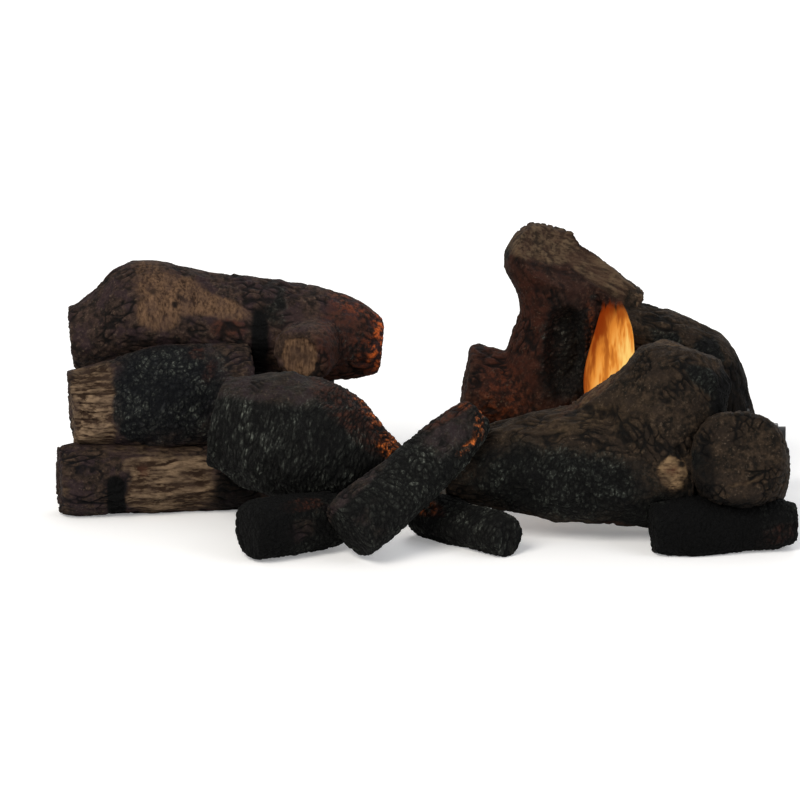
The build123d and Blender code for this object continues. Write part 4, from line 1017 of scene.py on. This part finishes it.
TOP_LEFT = ClayLog(
    node="top_left_log", body="top_left_log", finish=PEELED, seed=3,
    limbs=(
        Limb((-337.9, 94.4, 160.1), 0.0, -2.4, 297.0, 48.5,
             ((0, 0, -0.26, 0.6), (0.1, 0, -0.01, 0.75), (0.2, 0, 0.38, 1.04), (0.3, 0, 0.34, 0.98),
              (0.43, 0, 0.27, 0.91), (0.56, 0, 0.17, 0.95), (0.7, 0, 0.14, 0.93), (0.84, 0, 0.02, 0.88),
              (0.94, 0, -0.06, 0.74), (1, 0, -0.16, 0.46)), 4),
        Limb((-91.5, 94.4, 151.2), -109.0, 1.0, 84.0, 28.0,
             straight_row((0, 1.1), (0.5, 0.98), (0.92, 1), (1, 0.86)), 1, 0.8),
    ),
    spots=(
        Spot(Mark.SPLIT, 158, 312, 21, 19, 0, 0.9, 0.2),
        Spot(Mark.SPLIT, 170, 292, 36, 18, -20, 0.9, 0.2),
        Spot(Mark.SPLIT, 208, 304, 38, 11, -16, 0.85, 0.2),
        Spot(Mark.SPLIT, 147, 270, 14, 10, -10, 0.6, 0.4),
        Spot(Mark.SPLIT, 294, 350, 34, 36, 0, 0.15, 0.5),
        Spot(Mark.SOOT_AND_SHADE, 174, 304, 3, 3, 0, 0.7, 0.5),
        Spot(Mark.SOOT_AND_SHADE, 180, 297, 6, 2, -40, 0.5, 0.5),
        Spot(Mark.SOOT_AND_SHADE, 152, 291, 3, 3, 0, 0.5, 0.5),
        Spot(Mark.FIRELIGHT_RED, 228, 328, 18, 9, 0, 0.7),
        Spot(Mark.SOOT_AND_SHADE, 259, 338, 9, 34, 0, 1.0, 0.25),
        Spot(Mark.SOOT_AND_SHADE, 240, 366, 28, 14, 0, 1.0),
        Spot(Mark.FIRELIGHT_RED, 350, 342, 34, 44, 0, 0.75),
        Spot(Mark.PAINTED_FIRELIGHT, 354, 305, 26, 9, -28, 0.1, 0.6),
        Spot(Mark.CHAR, 350, 342, 20, 22, 0, 0.5, 0.5),
        Spot(Mark.PAINTED_FIRELIGHT, 378, 336, 8, 28, -6, 0.55, 0.6),
        Spot(Mark.PAINTED_FIRELIGHT, 368, 352, 12, 16, 0, 0.07, 0.6),
    ),
    rests_on=("mid_left_log",),
    relief=Relief(bark=(20.0, 8.0), bark_depth=1.6, split_recess=0.6, split_depth=1.0,
                  split_grain=(2.6, 12.0), fibre_contrast=0.28),
)

CHARRED = ClayLog(
    node="charred_log", slot="fired_clay_char", cover=Cover.CHAR, finish=BLACK, seed=4,
    limbs=(
        Limb((-196.2, -40.9, 103.8), -10.2, -10.1, 180.8, 59.1,
             straight_row((0, 0.7), (0.1, 0.8), (0.22, 0.94), (0.34, 1.02), (0.47, 1), (0.6, 1), (0.73, 0.81),
                          (0.86, 0.51), (1, 0.2)), 3, ridged=True),
    ),
    spots=(
        Spot(Mark.BARK, 262, 384, 60, 18, -8, 0.8),
        Spot(Mark.FIRELIGHT_RED, 355, 412, 56, 18, -48, 0.8),
        Spot(Mark.PAINTED_FIRELIGHT, 374, 412, 48, 7, -54, 0.6, 0.7),
        Spot(Mark.PAINTED_FIRELIGHT, 390, 450, 12, 7, -40, 0.6, 0.7),
        Spot(Mark.SOOT_AND_SHADE, 262, 500, 60, 10, 0, 0.9),
        Spot(Mark.SOOT_AND_SHADE, 212, 470, 10, 34, 0, 0.6),
    ),
    rests_on=("mid_left_log", "base_left_log", "front_left_log"),
    relief=Relief(char=(4.0, 16.0)),
    voxel=2.2,
)

FRONT_LEFT = ClayLog(
    node="front_left_log", slot="fired_clay_char", cover=Cover.CHAR, finish=CHAR_IN_SHADE, seed=5,
    limbs=(
        Limb((-165.9, -157.5, 25.5), 29.9, 0.0, 95.9, 27.0,
             ((0, 0, 0.06, 0.9), (0.08, 0, 0.1, 1.06), (0.5, 0, 0.12, 1.08), (0.9, 0, 0.08, 1),
              (1, 0, 0, 0.9)), 5),
    ),
    spots=(
        Spot(Mark.FIRELIGHT_RED, 303, 503, 20, 6, 8, 0.8),
        Spot(Mark.BARK, 302, 528, 16, 10, 30, 0.8),
        Spot(Mark.SOOT_AND_SHADE, 268, 524, 30, 36, 0, 0.9),
    ),
    voxel=1.8,
)

CROSSING = ClayLog(
    node="crossing_log", body="crossing_log", slot="fired_clay_char", cover=Cover.CHAR, finish=BLACK, seed=6,
    limbs=(
        Limb((-72.1, -165.6, 30.7), 35.0, 29.8, 171.7, 32.2,
             ((0, 0, 0, 0.93), (0.06, 0, 0, 1.03), (0.45, 0, -0.05, 0.92), (0.8, 0, 0.02, 0.82),
              (0.9, 0, 0.06, 0.74), (1, 0, 0.14, 0.58)), 4),
    ),
    spots=(
        Spot(Mark.BARK, 322, 525, 8, 30, -20, 0.8),
        Spot(Mark.BARK, 352, 488, 44, 7, 42, 0.8),
        Spot(Mark.BARK, 448, 428, 28, 20, 40, 0.8),
        Spot(Mark.FIRELIGHT_RED, 452, 411, 34, 6, 30, 0.8),
        Spot(Mark.PAINTED_FIRELIGHT, 462, 406, 12, 3, 10, 0.15, 0.6),
        Spot(Mark.PAINTED_FIRELIGHT, 468, 445, 12, 3, 40, 1.0, 0.6),
        # Pale wood under the lit streak at the tip: a painted highlight on the firelit rim
        Spot(Mark.SPLIT, 469, 444, 11, 2, 40, 0.5, 0.6),
        Spot(Mark.PAINTED_FIRELIGHT, 478, 424, 4, 15, -10, 0.6, 0.6),
    ),
    rests_on=("front_right_log", "charred_log", "front_left_log"),
    voxel=1.9,
)

CHUNK = ClayLog(
    node="chunk_log", slot="fired_clay_char", cover=Cover.CHAR, finish=BLACK, seed=7,
    limbs=(
        Limb((79.1, -144.4, 19.0), 135.0, 0.0, 118.0, 20.5,
             straight_row((0, 0.86), (0.08, 1), (0.45, 1), (0.65, 1.12), (0.92, 1.04), (1, 0.9)), 6),
    ),
    spots=(Spot(Mark.FIRELIGHT_RED, 430, 510, 14, 6, 0, 0.7), Spot(Mark.PAINTED_FIRELIGHT, 424, 507, 12, 5, 0, 0.12, 0.7)),
    voxel=1.8,
)

BASE_RIGHT = ClayLog(
    node="base_right_log", slot="fired_clay_char", cover=Cover.CHAR, finish=CHAR_IN_SHADE, seed=8,
    limbs=(
        Limb((213.5, -131.1, 23.5), 9.0, 0.0, 136.0, 25.0,
             straight_row((0, 0.9), (0.06, 1.02), (0.28, 1.22), (0.6, 1), (0.86, 1), (1, 0.72)), 7),
    ),
    spots=(Spot(Mark.SOOT_AND_SHADE, 706, 524, 60, 34, 0, 1.0), Spot(Mark.FIRELIGHT_RED, 768, 534, 22, 9, 20, 0.4)),
    voxel=1.8,
)

FRONT_RIGHT = ClayLog(
    node="front_right_log", finish=SMOKED, seed=9,
    limbs=(
        Limb((20.5, -61.1, 63.8), -2.8, -0.3, 234.0, 57.0,
             ((0, 0, 0, 0.551), (0.07, 0, 0, 0.58), (0.2, 0, 0.04, 0.7), (0.33, 0, 0.08, 0.85),
              (0.46, 0, 0.1, 0.94), (0.59, 0, 0.1, 0.98), (0.72, 0, 0.06, 0.95), (0.84, 0, 0, 0.93),
              (1, 0, 0, 0.9)), 1, ridged=True),
        Limb((210.1, -70.6, 62.7), 32.0, 66.0, 122.0, 55.0,
             ((0, 0, 0.05, 0.9), (0.22, 0, 0.1, 1.01), (0.44, 0, 0.09, 1.02), (0.67, 0, 0.06, 0.97),
              (0.88, 0, 0.02, 0.84), (1, 0, 0, 0.5)), 2, ridged=True, grain=(-0.66, 0.0, 0.75)),
        Limb((122.0, -62.0, 82.0), 0.0, 33.0, 98.0, 31.0,
             straight_row((0, 0.76), (0.5, 0.9), (1, 1)), 5, grain=(-0.8, 0.0, 0.6)),
        Limb((230.4, -71.6, 62.6), -88.0, 14.0, 55.6, 17.0,
             straight_row((0, 1), (0.8, 1), (0.96, 1), (1, 0.9)), 0, 1.05, grain=(-0.66, 0.0, 0.75)),
    ),
    spots=(
        Spot(Mark.CHAR, 556, 482, 84, 34, -6),
        Spot(Mark.CHAR, 680, 515, 70, 22),
        Spot(Mark.SOOT_AND_SHADE, 706, 512, 30, 40, 0, 0.95),
        Spot(Mark.SOOT_AND_SHADE, 727, 398, 17, 48, -12, 1.0),
        Spot(Mark.SPLIT, 572, 420, 62, 13, 10, 0.16, 0.6),
        # Next two: pale rims along the hump's top and the front's left flank, painted highlights where the
        # flames light their edges
        Spot(Mark.SPLIT, 684, 345, 46, 3, -9, 0.6, 0.5),
        Spot(Mark.SPLIT, 592, 393, 26, 4, 36, 0.55, 0.5),
        Spot(Mark.SOOT_AND_SHADE, 678, 463, 3, 3, 0, 0.7, 0.5),
        Spot(Mark.FIRELIGHT_RED, 668, 469, 6, 5, 0, 0.6, 0.6),
        Spot(Mark.FIRELIGHT_RED, 585, 396, 30, 5, 36, 0.4, 0.5),
        Spot(Mark.FIRELIGHT_RED, 625, 530, 30, 6, -12, 1.0),
        Spot(Mark.PAINTED_FIRELIGHT, 632, 534, 16, 2.5, -14, 0.3, 0.7),
    ),
    rests_on=("chunk_log", "base_right_log"),
    relief=Relief(bark=(52.0, 7.0), bark_depth=2.2),
    voxel=2.6,
)

END_RIGHT = ClayLog(
    node="end_right_log", finish=SMOKED, seed=10,
    limbs=(
        Limb((293.0, -139.1, 96.1), 87.0, -23.7, 131.0, 49.0,
             straight_row((0, 0.82), (0.06, 0.92), (0.45, 1), (0.9, 0.96), (1, 0.9)), 3),
    ),
    spots=(
        Spot(Mark.SOOT_AND_SHADE, 745, 512, 60, 14, 0, 0.8),
        Spot(Mark.SOOT_AND_SHADE, 700, 480, 10, 40, 0, 0.8),
        Spot(Mark.SPLIT, 738, 482, 14, 2, 12, 0.35, 0.6),
    ),
    rests_on=("base_right_log", "front_right_log"),
    relief=Relief(bark=(14.0, 9.0)),
    voxel=2.2,
)

REAR_TRUNK = ClayLog(
    node="rear_trunk_log", body="rear_trunk_log", finish=REDDISH, seed=11,
    limbs=(
        Limb((112.0, 141.4, 3.0), 0.0, 90.0, 240.0, 47.0,
             ((0, 0, 0, 0.98), (0.3, 0, -0.04, 1), (0.5, 0, -0.22, 0.92), (0.66, 0, -0.45, 0.84),
              (0.8, 0, -0.31, 0.86), (0.93, 0, 0.01, 0.86), (1, 0, -0.34, 0.46)), 5),
        Limb((113.9, 141.4, 75.0), 180.0, 9.0, 76.0, 43.0,
             straight_row((0, 0.94), (0.5, 0.94), (0.93, 1), (1, 0.9)), 2),
        Limb((121.9, 141.4, 204.6), 0.0, -23.0, 92.0, 32.0,
             ((0, 0, 0.11, 1.04), (0.4, 0, 0.03, 0.84), (0.94, 0, -0.06, 0.56), (1, 0, -0.06, 0.48)), 6,
             grain=(0.9, 0.0, -0.4)),
    ),
    spots=(
        Spot(Mark.SPLIT, 548, 236, 52, 24, -10, 0.8, 0.15),
        Spot(Mark.SPLIT, 610, 275, 46, 14, -34, 0.75, 0.15),
        Spot(Mark.SOOT_AND_SHADE, 545, 266, 34, 2, -16, 0.6, 0.8),
        Spot(Mark.FIRELIGHT_RED, 515, 330, 42, 66, 0, 0.5),
        Spot(Mark.CHAR, 568, 352, 26, 50, 0, 0.85, 0.2),
        Spot(Mark.PAINTED_FIRELIGHT, 503, 398, 24, 26, 20, 0.05, 0.7),
        Spot(Mark.PAINTED_FIRELIGHT, 592, 350, 4, 40, 0, 0.12, 0.7),
    ),
    facets=(
        Facet((112.0, 112.0, 226.0), (0.14, -0.6, 0.79), 90.0),
        Facet((162.3, 127.5, 204.0), (0.31, -0.6, 0.74), 84.0),
    ),
    hollows=(Hollow((135.0, 98.0, 132.6), 20.0, 46.0, 16.0),),
    floor=3.0,
    relief=Relief(bark=(22.0, 8.0), bark_depth=1.8, split_depth=1.2, split_recess=0.4,
                  split_grain=(24.0, 2.6)),
)

REAR_RIGHT = ClayLog(
    node="rear_right_log", finish=SMOKED, seed=12,
    limbs=(
        Limb((292.6, 133.8, 3.0), 180.0, 49.0, 190.0, 40.2,
             ((0, 0, 0, 1), (0.25, 0, 0.7, 0.98), (0.5, 0, 1.27, 0.98), (0.75, 0, 0.82, 0.95),
              (1, 0, 0.04, 0.88)), 1),
    ),
    spots=(Spot(Mark.SOOT_AND_SHADE, 744, 395, 22, 50, -15, 0.8),),
    rests_on=("rear_trunk_log",),
    floor=3.0,
    voxel=2.2,
)

LOGS = (
    BASE_LEFT, MID_LEFT, TOP_LEFT, CHARRED, FRONT_LEFT, CROSSING,
    CHUNK, BASE_RIGHT, FRONT_RIGHT, END_RIGHT, REAR_TRUNK, REAR_RIGHT,
)


# Fire


@dataclass(frozen=True)
class Tongue:
    """One tongue of flame over a burner port, in millimetres."""

    foot: Triple
    height: float
    width: float
    sway: float
    phase: float = 0.0

    def surface(self, rings: int = 28, sides: int = 20) -> tuple[tuple[Array, Faces], Array, Array]:
        """A leaf that swells near its foot and closes to a tip, swaying as it rises.

        The half width at share t of the height is half the width times the sine of pi times t to the
        0.8, to the 0.6. Heat falls with height; the body is thick on its axis and thin at its edges.

        Args:
            rings: How many rings there are.
            sides: How many points each ring has.

        Returns:
            The points in millimetres with the faces, then the heat and the body at each point.
        """
        share = np.linspace(0.004, 0.996, rings)
        half = 0.5 * self.width * np.sin(np.pi * share**0.8) ** 0.6
        angles = np.arange(sides) * 2.0 * np.pi / sides
        drift = self.sway * share**1.5 + 0.06 * self.width * np.sin(share * 9.0 + self.phase)
        x = self.foot[0] + drift[:, None] + half[:, None] * np.cos(angles)
        y = self.foot[1] + 0.3 * drift[:, None] + 0.45 * half[:, None] * np.sin(angles)
        z = self.foot[2] + self.height * share[:, None] + 0.0 * angles
        points = np.stack([x, y, z], axis=-1).reshape(-1, 3)
        caps = np.array([[x[0].mean(), y[0].mean(), z[0, 0]], [x[-1].mean(), y[-1].mean(), z[-1, 0]]])
        heat = (1.0 - 0.95 * share[:, None] ** 2.0) * (0.62 + 0.38 * np.cos(angles))[None, :]
        middle = 1.0 - 0.4 * np.abs(np.cos(angles))[None, :] ** 4.0
        body = (0.1 + 0.9 * middle) * ease(share[:, None] / 0.1) * ease((1.0 - share[:, None]) / 0.3)
        skin = (np.vstack([points, caps]), closed_faces(rings, sides))
        return skin, np.append(heat.ravel(), (1.0, 0.0)), np.append(body.ravel(), (0.0, 0.0))


@dataclass(frozen=True)
class Fire:
    """The flames over the two burner tubes, and the embers between them, flat below at their sole."""

    tongues: tuple[Tongue, ...] = (
        Tongue((182.0, 70.0, 29.0), 176.0, 50.0, -5.0, 0.4),
        Tongue((46.0, 44.0, 30.0), 46.0, 26.0, 6.0, 1.2),
        Tongue((18.0, 70.0, 30.0), 34.0, 20.0, 4.0, 3.0),
        Tongue((-22.0, 44.0, 30.0), 26.0, 18.0, -3.0, 5.0),
        Tongue((-66.0, 68.0, 30.0), 62.0, 24.0, 6.0, 0.2),
        Tongue((88.0, 66.0, 30.0), 44.0, 24.0, 5.0, 2.6),
        Tongue((132.0, 44.0, 30.0), 66.0, 24.0, -6.0, 3.7),
    )
    lines: tuple[float, float] = (40.5, 70.5)
    bed: float = 26.3
    first: float = -116.2
    pitch: float = 27.0
    count: int = 10
    size: float = 9.6
    squat: Triple = (1.0, 0.86, 0.5)
    sole: float = 0.38

    def flames(self) -> bpy.types.Object:
        """Builds all the tongues as one piece."""
        skins, heats, bodies = zip(*(tongue.surface() for tongue in self.tongues))
        points, faces = join_parts(list(skins))
        piece = mesh_piece("flames", points * MM, faces)
        set_number(piece, "fire_heat", np.concatenate(heats))
        set_number(piece, "fire_body", np.concatenate(bodies))
        piece.data.materials.append(Flame().make())
        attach(piece, "root")
        return piece

    def embers(self) -> bpy.types.Object:
        """Builds the lumps: spheres pushed in and out by noise, flattened below, in two rows on the tubes."""
        rings, sides = 12, 18
        tilt = np.linspace(0.12, np.pi - 0.12, rings)
        angles = np.arange(sides) * 2.0 * np.pi / sides
        ball = np.stack(
            [
                np.sin(tilt)[:, None] * np.cos(angles),
                np.sin(tilt)[:, None] * np.sin(angles),
                -np.cos(tilt)[:, None] + 0.0 * angles,
            ],
            axis=-1,
        ).reshape(-1, 3)
        ball = np.vstack([ball, (0.0, 0.0, -1.0), (0.0, 0.0, 1.0)])
        faces = closed_faces(rings, sides)
        lumps = []
        for row, column in itertools.product(range(len(self.lines)), range(self.count)):
            number = row * self.count + column
            size = self.size * (0.8 + 0.2 * math.cos(number * 2.4))
            x = self.first + self.pitch * (column + 0.75 + 0.1 * math.sin(number * 1.7))
            push = 1.0 + 0.22 * rough_noise(ball + number * 3.1, 0.7, 200 + number)
            lump = ball * push[:, None] * size * self.squat
            lump[:, 2] = np.maximum(lump[:, 2], -self.sole * size)
            spot = np.array((x, self.lines[row], self.bed + self.sole * size))
            lumps.append((lump + spot, faces))
        points, faces = join_parts(lumps)
        piece = mesh_piece("ember_lumps", points * MM, faces)
        piece.data.materials.append(Ember().make())
        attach(piece, "root")
        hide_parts("ember_chunks")
        return piece


# Metal and small parts


@dataclass(frozen=True)
class Hardware:
    """The burner, valve, rack and pilot, which keep their CAD shapes and get their finishes here."""

    finishes: tuple[tuple[object, tuple[str, ...]], ...] = (
        (Metal("zinc_plated_sheet", "#a9a9a4", "#6f6a62", 0.42, 1.0, 9.0),
         ("base_plate", "panel_screws", "igniter_nut", "pilot_bracket", "pilot_nuts", "valve_spindle")),
        (Metal("heat_proof_black_paint", "#1b1b1b", "#2a2725", 0.7, 0.0, 0.7), ("log_rack", "valve_panel")),
        (Metal("aluminised_sheet_heat_dulled", "#77736d", "#4b3f36", 0.5, 1.0, 0.5, (0.05, 1.0, 1.0)),
         ("burner_tray", "manifold", "tube_front", "tube_rear", "tube_caps", "mixing_tube", "air_shutter",
          "log_pins")),
        (Metal("die_cast_aluminium", "#a7a7a6", "#8c8b88", 0.45, 1.0, 0.9),
         ("valve_body", "valve_plunger", "pilot_tube")),
        (Metal("turned_brass", "#b08d45", "#8a6b34", 0.32, 1.0, 0.4, (0.1, 1.0, 1.0)),
         ("gas_orifice", "gas_inlet", "pilot_burner")),
        (Metal("blued_stainless_steel", "#8f8c88", "#5f5560", 0.35, 1.0, 0.5),
         ("pilot_hood", "thermocouple", "electrode")),
        (Metal("drawn_copper", "#a9673f", "#7a4a32", 0.38, 1.0, 0.5), ("thermocouple_lead",)),
        (Moulded("glazed_alumina", "#d8d4ca", "#c9c3b6", 0.3, 2.0, 0.02), ("electrode_insulator",)),
        (Moulded("moulded_black_phenolic", "#1a1a1b", "#232324", 0.45), ("control_knob", "igniter_body")),
        (Moulded("moulded_red_plastic", "#8e1f1a", "#7c1a16", 0.4), ("igniter_button",)),
        (Moulded("silicone_rubber_wire", "#8a3a2c", "#7a3226", 0.6), ("ignition_wire",)),
        (Moulded("silica_sand", "#b9a488", "#6e5a44", 0.95, 1.2, 0.5), ("sand_bed",)),
    )

    def dress(self) -> int:
        """Gives every CAD node its finish and returns how many there are."""
        count = 0
        for finish, nodes in self.finishes:
            material = finish.make()
            for node in nodes:
                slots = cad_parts[node].data.materials
                slots.clear()
                slots.append(material)
                count += 1
        return count


# Studio


@dataclass(frozen=True)
class Studio:
    """White floor, soft lamps and a long lens at the view's angle."""

    away: float = 8.0
    across: float = 0.76
    sensor: float = 36.0
    aim: Triple = (-0.0233, 0.0, 0.1131)

    def camera(self) -> None:
        """Sets the camera at 15 degrees down, framing 760 mm across."""
        data = bpy.data.cameras.new("camera")
        data.sensor_width = self.sensor
        data.lens = self.sensor * self.away / self.across
        data.clip_end = 100.0
        camera = bpy.data.objects.new("camera", data)
        towards = Vector(TOWARDS_VIEW)
        camera.location = Vector(self.aim) + towards * self.away
        camera.rotation_euler = (-towards).to_track_quat("-Z", "Y").to_euler()
        bpy.context.scene.collection.objects.link(camera)
        bpy.context.scene.camera = camera

    def lamp(self, name: str, place: Triple, size: float, power: float, colour: str) -> None:
        """Adds a square soft lamp that looks at the set."""
        data = bpy.data.lights.new(name, "AREA")
        data.energy = power
        data.size = size
        data.color = linear(colour)[:3]
        lamp = bpy.data.objects.new(name, data)
        lamp.location = place
        lamp.rotation_euler = (Vector(self.aim) - Vector(place)).to_track_quat("-Z", "Y").to_euler()
        bpy.context.scene.collection.objects.link(lamp)

    def floor(self) -> None:
        """Lays the white floor, matt, so that it keeps the set's soft shadow."""
        reach = 30.0
        corners = ((-1, -1), (1, -1), (1, 1), (-1, 1))
        points = np.array([(x * reach, y * reach, -0.0005) for x, y in corners])
        floor = mesh_piece("floor", points, [(0, 1, 2, 3)])
        shades = Shades("matt_white_board")
        seen = add_node(shades.tree, "LightPath").outputs["Is Camera Ray"]
        tone = shades.band(shades.noise(900.0, 2.0), 0.3, 0.7)
        shades.set(
            Base_Color=shades.mix(tone, "#fbfbfb", "#ffffff"),
            Roughness=1.0,
            Specular_IOR_Level=0.0,
            Emission_Color=(1.0, 1.0, 1.0, 1.0),
            Emission_Strength=shades.sum("MULTIPLY", seen, 0.22),
        )
        floor.data.materials.append(shades.material)

    def world(self) -> None:
        """Soft white light all round, and a white background where the camera or a reflection sees it."""
        world = bpy.data.worlds.new("studio")
        bpy.context.scene.world = world
        world.use_nodes = True
        tree = world.node_tree
        tree.nodes.clear()
        path = add_node(tree, "LightPath")
        seen = path.outputs["Is Camera Ray"]
        for ray in ("Is Glossy Ray", "Is Transmission Ray"):
            seen = add_node(tree, "Math", {"operation": "MAXIMUM"}, i0=seen, i1=path.outputs[ray]).outputs[0]
        strength = add_node(tree, "MapRange", i0=seen, i3=0.42, i4=1.0).outputs[0]
        light = add_node(tree, "Background", Color=(1.0, 1.0, 1.0, 1.0), Strength=strength)
        add_node(tree, "OutputWorld", Surface=light.outputs[0])

    def build(self) -> None:
        """Sets up the whole studio."""
        self.camera()
        self.floor()
        self.world()
        self.lamp("key", (-1.4, -2.2, 2.4), 1.6, 75.0, "#fffaf2")
        self.lamp("fill", (2.2, -1.6, 1.4), 1.8, 22.0, "#f4f7ff")
        self.lamp("back", (0.4, 2.4, 2.0), 1.6, 26.0, "#ffffff")
        bpy.context.scene.view_settings.view_transform = "Standard"


def main() -> None:
    """Builds the studio, dresses the hardware, then makes each log and the fire."""
    logging.basicConfig(level=logging.INFO, format="%(message)s")
    Studio().build()
    LOG.info("dressed %d nodes", Hardware().dress())
    logs = {log.node: log for log in LOGS}
    paints = {finish.name: finish.make() for finish in dict.fromkeys(log.finish for log in LOGS)}
    for log in LOGS:
        piece = log.build(logs, paints)
        LOG.info("%s: %d faces", piece.name, len(piece.data.polygons))
    fire = Fire()
    for piece in (fire.embers(), fire.flames()):
        LOG.info("%s: %d faces", piece.name, len(piece.data.polygons))


if __name__ == "__main__":
    main()
